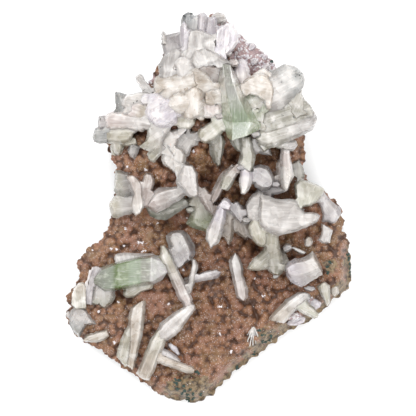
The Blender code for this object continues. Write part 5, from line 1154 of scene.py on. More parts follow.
def add_crumbs(piece, spec, axes, top, draw, tone, count):
    """Small crystals scattered over the top face."""
    area = squeezed(axes, top, 1.15, 1.05)
    low, high = area.min(axis=0), area.max(axis=0)
    made = 0
    while made < count:
        place = np.array((draw.uniform(low[0], high[0]), draw.uniform(low[1], high[1])))
        if not inside(place[:1], place[1:], area)[0]:
            continue
        height = float(axes.height(place)) + spec["up"] + draw.uniform(-0.25, 0.15)
        size = draw.uniform(0.25, 0.6)
        add_grain(piece, (*place, height), (size, size * 0.7, size * 1.3), draw,
                  shaded(np.atleast_2d(tone)[-1], draw.uniform(0.95, 1.15)))
        made += 1


def add_crystal(piece, look, spec, seed, crowded, covers):
    tone_name, kind_name, *tip_tone = look
    tone = [TONES[name] for name in (tone_name, *tip_tone)]
    kind = KINDS[kind_name]
    draw = random.Random(seed)
    axes, top = add_body(piece, spec, kind, tone, seed, None, covers, BRIDGED if crowded else 0)
    add_plates(piece, spec, kind, tone, axes, top, draw, seed + 100)
    if kind["crumbs"]:
        add_crumbs(piece, spec, axes, top, draw, tone, kind["crumbs"])
    if crowded:
        add_companions(piece, spec, kind, tone, axes, draw, seed + 300)


def add_companions(piece, spec, kind, tone, axes, draw, seed):
    """Smaller blades beside the foot of a crystal in a crowd, a little lower than it is."""
    outline = np.array(spec["outline"], float)
    centre = outline.mean(axis=0)
    half_width = np.abs((outline - centre) @ axes.across).max()
    for number in range(COMPANIONS):
        side = draw.choice((-1.0, 1.0))
        turn = math.radians(draw.uniform(-28.0, 28.0))
        along = axes.along * math.cos(turn) + axes.across * math.sin(turn)
        across = np.array((-along[1], along[0]))
        start = axes.root[:2] + axes.along * axes.length * draw.uniform(-0.1, 0.35)
        start = start + axes.across * side * half_width * draw.uniform(0.35, 0.85)
        long = min(9.0, axes.length * draw.uniform(0.4, 0.65))
        wide = min(2.6, half_width * draw.uniform(0.35, 0.6))
        tip = start + along * long
        shape = [start - across * wide * 0.8, tip - across * wide - along * 0.3 * wide,
                 tip + along * 0.3 * wide, tip + across * wide * 0.7, start + across * wide * 0.9]
        near = worn_height(*np.array([start, tip]).T)
        level = axes.height(start) - draw.uniform(1.0, 2.2)
        rise = axes.height(tip) - draw.uniform(1.6, 3.0)
        if rise < near[1] + 0.5 or not inside(tip[:1], tip[1:], np.array(RIM, float))[0]:
            continue
        small = crystal((*start, level), (*tip, rise), shape, min(1.4, wide), 0.45, 0.12,
                        draw.uniform(-0.3, 0.3), draw.uniform(-0.15, 0.15))
        add_body(piece, small, dict(kind, ragged=0.1), shaded(tone, draw.uniform(0.85, 1.0)),
                 seed + 13 * number)


def refined_sections(sections, step):
    """A prism's cross-sections with slightly blunted edges, and more points along and around."""
    rings = np.array([cut_corners(np.array(section, float), PRISM_BLUNT, 1) for section in sections])
    sides = np.linalg.norm(np.roll(rings, -1, axis=1) - rings, axis=2).max(axis=0)
    parts = np.maximum(1, (sides / step).astype(int))
    dense = []
    for ring in rings:
        following = np.roll(ring, -1, axis=0)
        points = [ring[i] + (following[i] - ring[i]) * k / parts[i]
                  for i in range(len(ring)) for k in range(parts[i])]
        dense.append(np.array(points))
    result = [dense[0]]
    for low, high in zip(dense, dense[1:]):
        rows = max(1, int(np.linalg.norm(high.mean(axis=0) - low.mean(axis=0)) / step))
        result += [low + (high - low) * k / rows for k in range(1, rows + 1)]
    return result


def add_prism(piece, sections, zones, axis_index):
    """A clear prism whose colour changes in bands along it, with painted shade low on its sides and a
    painted highlight on its top edges.
    """
    rings = refined_sections(sections, PRISM_STEP)
    points = np.vstack(rings)
    place = points[:, axis_index]
    stops = [stop for stop, colour in zones]
    tones = np.column_stack([np.interp(place, stops, [colour[i] for stop, colour in zones])
                             for i in range(3)] + [np.ones(len(points))])
    count = len(points)
    across = points[:, 1 - axis_index]
    looks = np.column_stack([np.zeros(count), np.ones(count), place, across, points[:, 2]])
    # painted light: each ring is darker at its foot and brighter at its top edges
    levels = np.array([ring[:, 2] for ring in rings])
    low = levels.min(axis=1, keepdims=True)
    painted_light_share = (levels - low) / (levels.max(axis=1, keepdims=True) - low)
    tones[:, :3] *= (PRISM_FOOT_SHADE + (PRISM_TOP_HIGHLIGHT - PRISM_FOOT_SHADE) * painted_light_share.ravel())[:, None]
    piece.add(points, loft_faces(len(rings), len(rings[0])), tones, looks)


def lattice(spacing, jitter, seed):
    """Points of a hexagonal lattice over the whole piece, each moved a little."""
    draw = random.Random(seed)
    xs = [point[0] for point in RIM]
    ys = [point[1] for point in RIM]
    points = []
    row = 0
    y = min(ys)
    while y < max(ys):
        x = min(xs) + (spacing / 2 if row % 2 else 0.0)
        while x < max(xs):
            points.append((x + draw.uniform(-jitter, jitter), y + draw.uniform(-jitter, jitter)))
            x += spacing
        y += spacing * math.sqrt(0.75)
        row += 1
    return points


def lumps_of(settings):
    spacing, jitter, (place_seed, size_seed), radii, ratio = settings
    draw = random.Random(size_seed)
    lumps = []
    for x, y in lattice(spacing, jitter, place_seed):
        radius = draw.uniform(*radii)
        lumps.append((x, y, radius, radius * ratio))
    return lumps


def domes(x, y, lumps):
    """Height of the highest round lump over each point, and its share of that lump's height."""
    order = np.argsort(y)
    xs, ys = x[order], y[order]
    height = np.zeros(len(x))
    share = np.zeros(len(x))
    for cx, cy, radius, rise in lumps:
        low, high = np.searchsorted(ys, (cy - radius, cy + radius))
        spot = slice(low, high)
        squared = ((xs[spot] - cx) ** 2 + (ys[spot] - cy) ** 2) / radius ** 2
        round_share = np.clip(1.0 - squared, 0.0, None) ** LUMP_ROUNDNESS
        higher = round_share * rise > height[spot]
        height[spot] = np.where(higher, round_share * rise, height[spot])
        share[spot] = np.where(higher, round_share, share[spot])
    back = np.empty(len(x), int)
    back[order] = np.arange(len(x))
    return height[back], share[back]


def crust(x, y):
    """Height of the crust and how deep each point lies in its creases, from 0 to 1."""
    big, big_share = domes(x, y, lumps_of(BIG_LUMPS) + KNOBS + FOOT_KNOBS)
    small, small_share = domes(x, y, lumps_of(SMALL_LUMPS))
    grain, grain_share = domes(x, y, lumps_of(GRAINS))
    height = worn_height(x, y) + big + small + GRAIN_SHARE * grain - CRUST_SINK
    for px, py, radius, depth in PITS:
        height -= depth * bell(x, y, (px, py), (radius, radius))
    crease = 1.0 - np.clip(0.35 * big_share + 0.6 * small_share + 0.15 * grain_share, 0.0, 1.0)
    return height, crease


def ragged_rim():
    """The rim's outline with small scallops where round lumps meet it."""
    rim = evenly(counter_clockwise(RIM), ROCK_GRID)
    count = len(rim)
    ahead = np.roll(rim, -1, axis=0) - np.roll(rim, 1, axis=0)
    inward = np.column_stack([-ahead[:, 1], ahead[:, 0]])
    inward /= np.linalg.norm(inward, axis=1)[:, None]
    distance = np.arange(count) * ROCK_GRID
    broken = broken_share(rim[:, 0], rim[:, 1])
    scallop = RIM_SCALLOP * (1.0 - 2.0 * grooves(distance, RIM_BEAD, 4)) * (1.0 - 0.6 * broken)
    wave = RIM_WAVE * waves(distance, distance * 0.0, 5.0, 9)
    rim = rim + inward * (scallop + wave)[:, None]
    return np.clip(rim, *rim_limits()), inward


def rim_limits():
    """The rock's own box in plan, in mm."""
    low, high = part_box("matrix")
    return np.array(low[:2]) / MM, np.array(high[:2]) / MM


def tree_of(objects):
    """All the objects' faces in one search tree."""
    vertices = []
    faces = []
    for obj in objects:
        start = len(vertices)
        vertices += [tuple(v.co) for v in obj.data.vertices]
        faces += [[start + i for i in polygon.vertices] for polygon in obj.data.polygons]
    return BVHTree.FromPolygons(vertices, faces)


def keep_below_crystals(x, y, height):
    """The crust's height, lowered where it would come out of a solid crystal's top face."""
    tree = tree_of([obj for name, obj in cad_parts.items() if name != "matrix"])
    up = Vector((0.0, 0.0, 1.0))
    result = height.copy()
    for i in range(len(x)):
        place = (x[i] * MM, y[i] * MM)
        above = tree.ray_cast(Vector((*place, 1.0)), -up)[0]
        if above is None:
            continue
        below = tree.ray_cast(Vector((*place, -1.0)), up)[0]
        limit = max(above.z / MM - UNDER_CRYSTAL, LEAST_HEIGHT)
        if height[i] > limit and height[i] > below.z / MM:
            result[i] = limit
    return result


def rock_plan(rim):
    """The rock's face in plan: its points, its triangles and which points follow the rim."""
    grid = np.array(lattice(ROCK_GRID, ROCK_GRID * GRID_JITTER, 3))
    grid = grid[inside(grid[:, 0], grid[:, 1], rim)]
    kept = distance_to_outline(grid[:, 0], grid[:, 1], rim[::2]) > 0.6 * ROCK_GRID
    points = np.vstack([rim, grid[kept]])
    count = len(rim)
    border = [(i, (i + 1) % count) for i in range(count)]
    flat = geometry.delaunay_2d_cdt([Vector(p) for p in points], border, [], 1, 1e-4)
    along_rim = [None] * count
    for index, origins in enumerate(flat[3]):
        for origin in origins:
            if origin < count:
                along_rim[origin] = index
    return np.array([tuple(p) for p in flat[0]]), [tuple(face) for face in flat[2]], along_rim


def rock_sides(tops, inward):
    """Rings of points down the broken sides, from under the rim to the flat back."""
    distance = np.arange(len(tops)) * ROCK_GRID
    limits = rim_limits()
    rings = []
    for row in range(1, SIDE_ROWS + 1):
        share = row / SIDE_ROWS
        scale = np.interp(share, (0.0, 0.5, 1.0), (1.0, SIDE_BULGE, BACK_SCALE))
        level = tops[:, 2] * (1.0 - share)
        fracture = waves(distance, level * 1.6, 9.0, 40) + 0.6 * waves(distance, level, 3.4, 41)
        steps = np.round(fracture * 2.0) / 2.0
        depth = 0.55 + 0.4 * (0.5 * fracture + 0.5 * steps)
        depth = np.clip(depth, 0.0, 1.6) * math.sin(math.pi * min(1.0, share * 1.3) * 0.5)
        if row == SIDE_ROWS:
            depth = np.full(len(tops), BACK_INSET)
        plan = np.clip(tops[:, :2] * scale + inward * depth[:, None], *limits)
        rings.append(np.column_stack([plan, level]))
    return rings


def side_faces(along_rim, start):
    """Faces down the sides, whose points begin at that number, and the back's one face."""
    count = len(along_rim)
    rows = [along_rim]
    for row in range(SIDE_ROWS):
        rows.append(list(range(start + row * count, start + (row + 1) * count)))
    faces = []
    for upper, lower in zip(rows, rows[1:]):
        for i in range(count):
            j = (i + 1) % count
            faces.append((upper[j], upper[i], lower[i], lower[j]))
    faces.append(tuple(rows[-1][::-1]))
    return faces


def make_rock(material):
    """The rock with its crust, its broken sides and its flat back."""
    rim, inward = ragged_rim()
    corners, faces, along_rim = rock_plan(rim)
    x, y = corners[:, 0], corners[:, 1]
    height, crease = crust(x, y)
    face = np.column_stack([x, y, keep_below_crystals(x, y, height)])
    tops = face[along_rim]
    sides = rock_sides(tops, inward)
    vertices = np.vstack([face, *sides])
    faces += side_faces(along_rim, len(face))
    mesh = bpy.data.meshes.new("crusted_rock")
    mesh.from_pydata((vertices * MM).tolist(), [], faces)
    mesh.materials.append(material)
    x, y = vertices[:, 0], vertices[:, 1]
    zones = {
        "crease": np.append(crease, np.full(len(rim) * SIDE_ROWS, SIDE_CREASE)),
        "below": np.concatenate([np.zeros(len(face)), *(tops[:, 2] - ring[:, 2] for ring in sides)]),
        "broken": broken_zone(x, y),
        "druse": patches_of(DRUSE_PATCHES, x, y),
        "deep": patches_of(DEEP_PATCHES, x, y),
    }
    for name, values in zones.items():
        layer = mesh.attributes.new(name, "FLOAT", "POINT")
        layer.data.foreach_set("value", values.astype(np.float32))
    mesh.validate()
    mesh.update()
    mesh.shade_smooth()
    obj = add_object("crusted_rock", mesh)
    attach(obj, "root")
    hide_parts("matrix")
    return obj


def patches_of(patches, x, y):
    """How far each point lies in one of the round patches, from 0 to 1."""
    shown = np.zeros(len(x))
    for px, py, radius in patches:
        shown = np.maximum(shown, bell(x, y, (px, py), (radius, radius)))
    return shown


def broken_zone(x, y):
    """How much of the cream rock shows at each point, from 0 to 1."""
    shown = patches_of(BROKEN_PATCHES, x, y)
    rim_distance = distance_to_outline(x, y, np.array(RIM, float))
    low_rim = broken_share(x, y) * (1.0 - smooth_step(0.6, 2.8, rim_distance))
    shown = np.maximum(shown, 0.8 * low_rim)
    return np.clip(shown + 0.18 * waves(x, y, 2.2, 60), 0.0, 1.0)


# Colours that aren't a crystal's: crust, broken rim, basalt and small grains
# painted shade in the crust's creases, and the colour of its dark specks
CRUST_DARK_AND_SHADE = (0.06, 0.027, 0.015)
CRUST_MIDDLE = (0.152, 0.071, 0.036)
# painted highlight on the crust's lump tops
CRUST_TOP_HIGHLIGHT = (0.27, 0.141, 0.074)
CRUST_PINK = (0.23, 0.11, 0.076)
DEEP_TINT = (0.76, 0.66, 0.56)       # the crust's middle and foot are darker and redder
CRUST_OLIVE = (0.165, 0.102, 0.048)
DRUSE_MAUVE = (0.36, 0.26, 0.27)
BROKEN_CREAM = (0.22, 0.158, 0.09)
BROKEN_SHADE = (0.04, 0.026, 0.016)
BASALT = (0.058, 0.058, 0.057)
BASALT_LIGHT = (0.14, 0.136, 0.13)
CELADONITE = (0.01, 0.038, 0.03)
# painted highlight: pearly sheen laid on the crystals in random patches and along their arrises
PEARL_HIGHLIGHT = (0.74, 0.715, 0.69)
VEIL = (0.50, 0.51, 0.46)
# painted glint: the white of glinting crust facets and of grains that stand in for glints
GLINT = (0.85, 0.80, 0.80)
CRYSTAL_IOR = 1.535
STILBITE_IOR = 1.50
QUARTZ_IOR = 1.54
STILBITE_DEPTH = 0.0022      # how far light spreads inside a blade,
PRISM_DEPTH = 0.0009         # inside a green prism
CRUST_DEPTH = 0.0008         # and inside the crust
GREEN_WATER = (0.88, 0.91, 0.80)     # the tint of light that has gone through a green prism
ABSORPTION_DENSITY = 12.0


def new_material(name):
    material = bpy.data.materials.new(name)
    material.use_nodes = True
    material.node_tree.nodes.clear()
    return material, material.node_tree


def node(tree, kind, inputs=None, **settings):
    """A new shader node; inputs holds a value or another node's output for each named socket."""
    made = tree.nodes.new("ShaderNode" + kind)
    for name, value in settings.items():
        setattr(made, name, value)
    for key, value in (inputs or {}).items():
        if isinstance(value, bpy.types.NodeSocket):
            tree.links.new(value, made.inputs[key])
        elif isinstance(value, tuple) and made.inputs[key].type == "RGBA":
            made.inputs[key].default_value = (*value[:3], 1.0)
        else:
            made.inputs[key].default_value = value
    return made


def attribute(tree, name, output="Fac"):
    return node(tree, "Attribute", attribute_name=name).outputs[output]


def vectors(tree, operation, inputs):
    return node(tree, "VectorMath", inputs, operation=operation).outputs[0]


def place_in_mm(tree):
    place = node(tree, "TexCoord").outputs["Object"]
    return vectors(tree, "SCALE", {0: place, "Scale": 1.0 / MM})


def stretched(tree, vector, factors):
    return vectors(tree, "MULTIPLY", {0: vector, 1: factors})


def noise(tree, vector, size, detail=3.0, rough=0.55):
    """Noise from 0 to 1 whose features are about that many millimetres."""
    return node(tree, "TexNoise", {"Vector": vector, "Scale": 1.0 / size, "Detail": detail,
                                   "Roughness": rough}).outputs["Fac"]


def cells(tree, vector, size, output="Distance"):
    return node(tree, "TexVoronoi", {"Vector": vector, "Scale": 1.0 / size}).outputs[output]


def ramp(tree, value, low, high, start=0.0, stop=1.0):
    return node(tree, "MapRange", {"Value": value, "From Min": low, "From Max": high,
                                   "To Min": start, "To Max": stop},
                interpolation_type="SMOOTHSTEP").outputs["Result"]


def maths(tree, operation, first, second):
    return node(tree, "Math", {0: first, 1: second}, operation=operation).outputs[0]


def times(tree, first, second):
    return maths(tree, "MULTIPLY", first, second)


def mixed(tree, share, first, second, blend="MIX"):
    made = node(tree, "Mix", data_type="RGBA", blend_type=blend, clamp_factor=True)
    for index, value in ((0, share), (6, first), (7, second)):
        socket = made.inputs[index]
        if isinstance(value, bpy.types.NodeSocket):
            tree.links.new(value, socket)
        elif isinstance(value, tuple):
            socket.default_value = (*value[:3], 1.0)
        else:
            socket.default_value = value
    return made.outputs[2]


def tinted(tree, colour, mask, share, shade):
    """The colour with that share of another one where the mask is 1."""
    return mixed(tree, times(tree, mask, share), colour, shade)


def bumped(tree, height, distance, strength=1.0, normal=None):
    made = node(tree, "Bump", {"Height": height, "Distance": distance * MM, "Strength": strength})
    if normal is not None:
        tree.links.new(normal, made.inputs["Normal"])
    return made.outputs["Normal"]


def finish_surface(tree, shader, volume=None):
    output = node(tree, "OutputMaterial", {"Surface": shader})
    if volume is not None:
        tree.links.new(volume, output.inputs["Volume"])


def stilbite_material():
    """Pearly, translucent blades: soft white cores, see-through edges, fine striations, painted shade on
    their sides and painted pearly highlights.
    """
    material, tree = new_material("stilbite")
    tone = attribute(tree, "tone", "Color")
    edge = attribute(tree, "edge")
    clear = attribute(tree, "clear")
    grain = attribute(tree, "grain", "Vector")
    place = place_in_mm(tree)

    streaks = noise(tree, stretched(tree, grain, (0.09, 1.5, 0.4)), 0.7, 4.0, 0.6)
    bands = noise(tree, stretched(tree, grain, (0.06, 0.8, 0.3)), 1.5, 3.0, 0.55)
    clouds = noise(tree, place, 5.0, 2.0)
    zones = noise(tree, stretched(tree, grain, (1.0, 0.6, 0.3)), 6.0, 2.0)
    flecks = noise(tree, place, 0.6, 3.0, 0.7)
    grey_side_shade = mixed(tree, 1.0, tone, (0.80, 0.81, 0.82), "MULTIPLY")
    darker = mixed(tree, 1.0, tone, (0.62, 0.59, 0.56), "MULTIPLY")
    # painted shade: the foot, sides and bevels are greyed where edge is high, along with the greyer look of
    # thin see-through edges
    colour = tinted(tree, tone, ramp(tree, edge, 0.35, 0.95), 0.3, grey_side_shade)
    # the lighter patches are painted pearly sheen over random tone; the darker ones are random tone
    for pattern, low, high, share, shade in (
            (clouds, 0.42, 0.66, 0.35, PEARL_HIGHLIGHT), (zones, 0.50, 0.34, 0.55, darker),
            (zones, 0.50, 0.66, 0.60, PEARL_HIGHLIGHT), (bands, 0.50, 0.36, 0.28, darker),
            (bands, 0.54, 0.66, 0.35, PEARL_HIGHLIGHT), (streaks, 0.52, 0.36, 0.20, darker),
            (streaks, 0.56, 0.68, 0.45, PEARL_HIGHLIGHT)):
        colour = tinted(tree, colour, ramp(tree, pattern, low, high), share, shade)
    # painted highlight: a thin pearly line along the top edge of each bevel
    arris_highlight = times(tree, ramp(tree, edge, 0.20, 0.34), ramp(tree, edge, 0.60, 0.38))
    colour = tinted(tree, colour, arris_highlight, 0.10, PEARL_HIGHLIGHT)

    normal = bumped(tree, flecks, 0.02, 0.3, bumped(tree, streaks, 0.08, 0.6))
    roughness = ramp(tree, clouds, 0.3, 0.7, 0.18, 0.34)
    passing = times(tree, clear, ramp(tree, edge, 0.1, 1.0, 0.7, 1.2))
    surface = node(tree, "BsdfPrincipled", {
        "Base Color": colour, "Roughness": roughness, "IOR": STILBITE_IOR, "Normal": normal,
        "Transmission Weight": passing, "Subsurface Weight": 0.85,
        "Subsurface Radius": (1.0, 0.92, 0.85), "Subsurface Scale": STILBITE_DEPTH,
        "Coat Weight": 0.3, "Coat Roughness": 0.15})
    finish_surface(tree, surface.outputs[0])
    return material


def apophyllite_material():
    """Glassy pale green prisms with striated faces, veils inside and stronger green bands."""
    material, tree = new_material("apophyllite")
    tone = attribute(tree, "tone", "Color")
    grain = attribute(tree, "grain", "Vector")
    place = place_in_mm(tree)
    streaks = noise(tree, stretched(tree, grain, (0.12, 1.4, 0.6)), 0.6, 4.0, 0.6)
    veils = noise(tree, place, 3.2, 4.0, 0.6)
    steps = cells(tree, stretched(tree, grain, (0.35, 1.0, 0.6)), 1.6)
    milky = ramp(tree, veils, 0.46, 0.68)
    colour = tinted(tree, tone, milky, 0.3, VEIL)
    shade = mixed(tree, 1.0, colour, (0.60, 0.66, 0.56), "MULTIPLY")
    colour = tinted(tree, colour, ramp(tree, streaks, 0.50, 0.34), 0.7, shade)
    colour = tinted(tree, colour, ramp(tree, streaks, 0.55, 0.66), 0.75, VEIL)
    normal = bumped(tree, streaks, 0.08, 0.6, bumped(tree, steps, 0.06, 0.4))
    passing = ramp(tree, milky, 0.0, 1.0, 0.46, 0.22)
    surface = node(tree, "BsdfPrincipled", {
        "Base Color": colour, "Roughness": ramp(tree, veils, 0.3, 0.7, 0.06, 0.22),
        "IOR": CRYSTAL_IOR, "Normal": normal, "Transmission Weight": passing,
        "Subsurface Weight": 0.6, "Subsurface Radius": (0.9, 1.0, 0.8), "Subsurface Scale": PRISM_DEPTH,
        "Coat Weight": 0.2, "Coat Roughness": 0.05})
    volume = node(tree, "VolumeAbsorption", {"Color": GREEN_WATER, "Density": ABSORPTION_DENSITY})
    finish_surface(tree, surface.outputs[0], volume.outputs[0])
    return material


def crust_colour(tree, place, crease, mottle, fine, glint):
    """Brown lumps with painted shade in their creases, painted highlights on their tops, stains, lilac
    druse and painted glints.
    """
    patches = noise(tree, place, 7.0, 3.0)
    # painted shade: darker the deeper a point lies in a crease
    colour = mixed(tree, ramp(tree, crease, 0.62, 0.12), CRUST_DARK_AND_SHADE, CRUST_MIDDLE)
    # painted highlight on the lumps' tops, broken up by random mottle
    tops = times(tree, ramp(tree, crease, 0.42, 0.05), ramp(tree, mottle, 0.35, 0.65))
    colour = mixed(tree, tops, colour, CRUST_TOP_HIGHLIGHT)
    open_face = ramp(tree, crease, 0.5, 0.15)
    for low, high, shade in ((0.50, 0.64, CRUST_PINK), (0.48, 0.36, CRUST_OLIVE)):
        share = times(tree, ramp(tree, patches, low, high), open_face)
        colour = tinted(tree, colour, share, 0.6, shade)
    deep = mixed(tree, 1.0, colour, DEEP_TINT, "MULTIPLY")
    colour = mixed(tree, attribute(tree, "deep"), colour, deep)
    druse = maths(tree, "ADD", attribute(tree, "druse"), times(tree, mottle, 0.5))
    colour = tinted(tree, colour, ramp(tree, druse, 0.6, 0.9), 0.85, DRUSE_MAUVE)
    colour = tinted(tree, colour, ramp(tree, fine, 0.44, 0.32), 0.35, CRUST_DARK_AND_SHADE)
    # painted glint: white on the small facets that glint
    return tinted(tree, colour, glint, 0.3, GLINT)


def bare_rock_colour(tree, crusted, mottle, fine, basalt_share, side_depth):
    """Cream rock where the crust is broken off and under the rim, and basalt below that."""
    cream = mixed(tree, ramp(tree, mottle, 0.36, 0.60), BROKEN_SHADE, BROKEN_CREAM)
    broken = maths(tree, "ADD", attribute(tree, "broken"), times(tree, mottle, 0.5))
    colour = mixed(tree, ramp(tree, broken, 0.55, 0.85), crusted, cream)
    colour = mixed(tree, ramp(tree, side_depth, 2.6, 3.8), colour, cream)
    basalt = mixed(tree, ramp(tree, fine, 0.45, 0.72), BASALT, BASALT_LIGHT)
    return mixed(tree, basalt_share, colour, basalt)


def sparkling_normal(tree, place, fine, small_facets, glint):
    """Fine grit and beads, whose small facets are tilted, most where they glint."""
    grit = bumped(tree, fine, 0.12, 0.7)
    beads = bumped(tree, cells(tree, place, 0.55), -0.25, 0.5, grit)
    tilt = vectors(tree, "SUBTRACT", {0: small_facets, 1: (0.5, 0.5, 0.5)})
    tilt_share = maths(tree, "ADD", 0.12, times(tree, glint, 0.8))
    tilted = vectors(tree, "SCALE", {0: tilt, "Scale": tilt_share})
    return vectors(tree, "NORMALIZE", {0: vectors(tree, "ADD", {0: beads, 1: tilted})})


def first_channel(tree, colour):
    return node(tree, "SeparateColor", {"Color": colour}).outputs[0]


def rock_material():
    """Brown glittering crust, cream broken rim and dark fine basalt under them."""
    material, tree = new_material("crusted_rock")
    crease = attribute(tree, "crease")
    place = place_in_mm(tree)
    mottle = noise(tree, place, 1.6, 5.0, 0.65)
    fine = noise(tree, place, 0.45, 4.0, 0.7)
    small_facets = cells(tree, place, 0.28, "Color")
    sparkle = ramp(tree, first_channel(tree, small_facets), 0.86, 0.97)
    glint = times(tree, sparkle, ramp(tree, crease, 0.6, 0.2))
    side_depth = maths(tree, "ADD", attribute(tree, "below"), times(tree, mottle, 4.0))
    basalt_share = ramp(tree, side_depth, 5.2, 6.8)
    crusted = crust_colour(tree, place, crease, mottle, fine, glint)
    dull = mixed(tree, basalt_share, (0.34, 0.34, 0.34), (0.85, 0.85, 0.85))
    surface = node(tree, "BsdfPrincipled", {
        "Base Color": bare_rock_colour(tree, crusted, mottle, fine, basalt_share, side_depth),
        "Roughness": first_channel(tree, dull), "IOR": QUARTZ_IOR,
        "Normal": sparkling_normal(tree, place, fine, small_facets, glint),
        "Specular IOR Level": 0.3, "Subsurface Weight": 0.1, "Subsurface Radius": (1.0, 0.6, 0.4),
        "Subsurface Scale": CRUST_DEPTH})
    finish_surface(tree, surface.outputs[0])
    return material


def celadonite_material():
    """Small dark specks, from teal celadonite to nearly black."""
    material, tree = new_material("celadonite")
    tone = attribute(tree, "tone", "Color")
    fine = noise(tree, place_in_mm(tree), 0.4, 4.0)
    lighter = mixed(tree, 0.15, tone, (0.20, 0.22, 0.20))
    colour = mixed(tree, ramp(tree, fine, 0.35, 0.65), tone, lighter)
    surface = node(tree, "BsdfPrincipled", {
        "Base Color": colour, "Roughness": ramp(tree, fine, 0.3, 0.7, 0.5, 0.8),
        "Normal": bumped(tree, fine, 0.2)})
    finish_surface(tree, surface.outputs[0])
    return material


def druse_material():
    """Tiny clear crystals, white to lilac, that catch the light."""
    material, tree = new_material("druse")
    tone = attribute(tree, "tone", "Color")
    fine = noise(tree, place_in_mm(tree), 0.3, 3.0)
    colour = mixed(tree, ramp(tree, fine, 0.35, 0.7), tone, (0.80, 0.78, 0.82))
    surface = node(tree, "BsdfPrincipled", {
        "Base Color": colour, "Roughness": ramp(tree, fine, 0.3, 0.7, 0.08, 0.25), "IOR": QUARTZ_IOR,
        "Transmission Weight": attribute(tree, "clear"), "Coat Weight": 0.3, "Coat Roughness": 0.05,
        "Normal": bumped(tree, fine, 0.08, 0.5)})
    finish_surface(tree, surface.outputs[0])
    return material


# Small crystals and crusts that are part of the rock's face: outline, height over the rock,
# rise, tone and kind
CHIPS = [
    ([(-16.4, -54.4), (-15, -54), (-12.6, -56), (-11.4, -58.4), (-12, -59.4), (-14, -58), (-16, -56)],
     1.0, 0.8, "lilac", "plate"),
    ([(35.4, -41.6), (37, -42.8), (39, -44), (38.4, -46), (35.4, -47.2), (32.8, -47.4), (31, -46.4),
     (33, -44.6)], 1.6, 1.0, "lilac", "rough"),
    ([(40.2, -37.6), (41.8, -36), (43.6, -36.4), (45.6, -38), (44.8, -40), (43, -40.6), (41, -39.4)],
     1.6, 1.0, "lilac", "rough"),
    ([(48.6, -30.4), (50, -30), (52, -31.6), (52.6, -34), (50.6, -35.8), (49, -34.6)], 1.4, 0.9, "beige",
     "blade"),
    ([(38, -31.8), (40, -30.9), (42.6, -31.4), (43.6, -33), (41, -33.6), (38.6, -33)], 1.6, 0.8,
     "lilac_grey", "blade"),
    ([(25.6, -26.6), (27.6, -26.2), (28.6, -27.2), (27.4, -28.4), (25.8, -28.2)], 1.5, 0.7, "blue_grey",
     "blade"),
    ([(14.8, 62.5), (16.5, 66), (18, 66), (19.4, 64.5), (17, 62)], 2.0, 0.9, "lilac", "blade"),
    ([(16.5, 57), (17, 59.6), (19, 60), (20, 58.4), (18.6, 57)], 1.6, 0.9, "lilac", "rough"),
    ([(20.4, 59), (20.6, 61.4), (22.6, 62), (24, 60.6), (23, 59)], 1.6, 0.9, "lilac", "rough"),
    ([(21, 54), (21.2, 56.6), (23, 58), (25, 57), (24.6, 54.6), (22.6, 53.8)], 1.4, 0.9, "lilac",
     "rough"),
    ([(0.4, 74.6), (1.6, 77.4), (3.6, 78.4), (6.4, 77.6), (7.4, 75), (6, 73), (2.4, 72.6)], 2.4, 1.4,
     "grey", "rough"),
    ([(-57.2, -43.4), (-56.6, -41.4), (-55.6, -41.6), (-55.2, -43.6), (-56, -44.8)], 1.2, 0.6, "white",
     "blade"),
]

# A spray of needles on the lower slab: root, tip and width of each
NEEDLES = [
    ((17.6, -48.0), (15.6, -53.6), 0.5), ((17.8, -47.8), (16.6, -55.4), 0.55),
    ((18.0, -47.6), (17.8, -55.0), 0.5), ((18.2, -47.8), (19.0, -54.2), 0.5),
    ((17.4, -48.4), (15.4, -51.0), 0.45), ((18.4, -48.0), (19.8, -51.6), 0.45),
]

# Groups of dark specks, and of white points that are painted glints, on the crust
CELADONITE_SPOTS = [
    (-13.4, -68.5), (-12.8, -70.2), (-12.6, -72.4), (-11.8, -69.2), (-10.8, -74.4), (-10, -71.6),
    (-9.4, -73.4), (-8.8, -75), (-8, -76), (-7.2, -72.8), (-6, -74.4), (-3.4, -74.8), (-6.6, -77),
    (-8, -77.4), (-4.2, -65.8), (20.5, -49), (21.8, -51), (25, -51.4), (24.4, -53), (21.4, -53.8),
    (23, -54), (18, -59), (11.4, -64), (47.8, -23.8), (48.6, -21.8), (48, -25.8), (25.4, 58.4),
    (56, -18.6), (56.4, -20.4), (56.8, -22.4), (57, -24.2), (57.2, -26),
]
GLINT_SPOTS = [
    (-33.4, -8), (-26.6, -13.8), (-37, -16.4), (-28, -13.8), (-33.6, -15.4), (-46.8, -17.2),
    (-39, -16.4), (-25.8, -17.6), (-10, -25), (18.4, -28.4), (22, -35), (5, -39.8), (-36, -37.8),
    (-16, -38.6), (-8.5, -4.2), (-20.4, -5.8), (-6, 22.8), (-32.4, 16.8), (-25, 15), (-44, -41.6),
    (-37.4, -54), (9, -57.6), (5, -50.8), (36.4, -0.4), (37.2, 0.2), (37.8, -0.6),
]
SPOT_SPECKS = 5          # dark specks in each group
SPOT_POINTS = 3          # white points in each group, painted glints
SPARKLES = 600           # further small white crystals scattered over the crust, painted glints
SPARKLE_AREA = (57, 77)  # how far from the middle they reach, across and along
DRUSE_GRAINS = 45        # small crystals on each patch of druse

# How deep the feet of small crystals are, the crumbs on a chip and the seeds of their draws
CHIP_DEPTH = 2.6
CHIP_CRUMBS = 22
CHIP_SEED = 500
CHIP_PLATE_SEED = 700
NEEDLE_DEPTH = 1.6
NEEDLE_SEED = 900
LOW_CRYSTAL_DEPTH = 5.0
LOW_CRYSTAL_SEED = 1300
GRAIN_SEED = 77

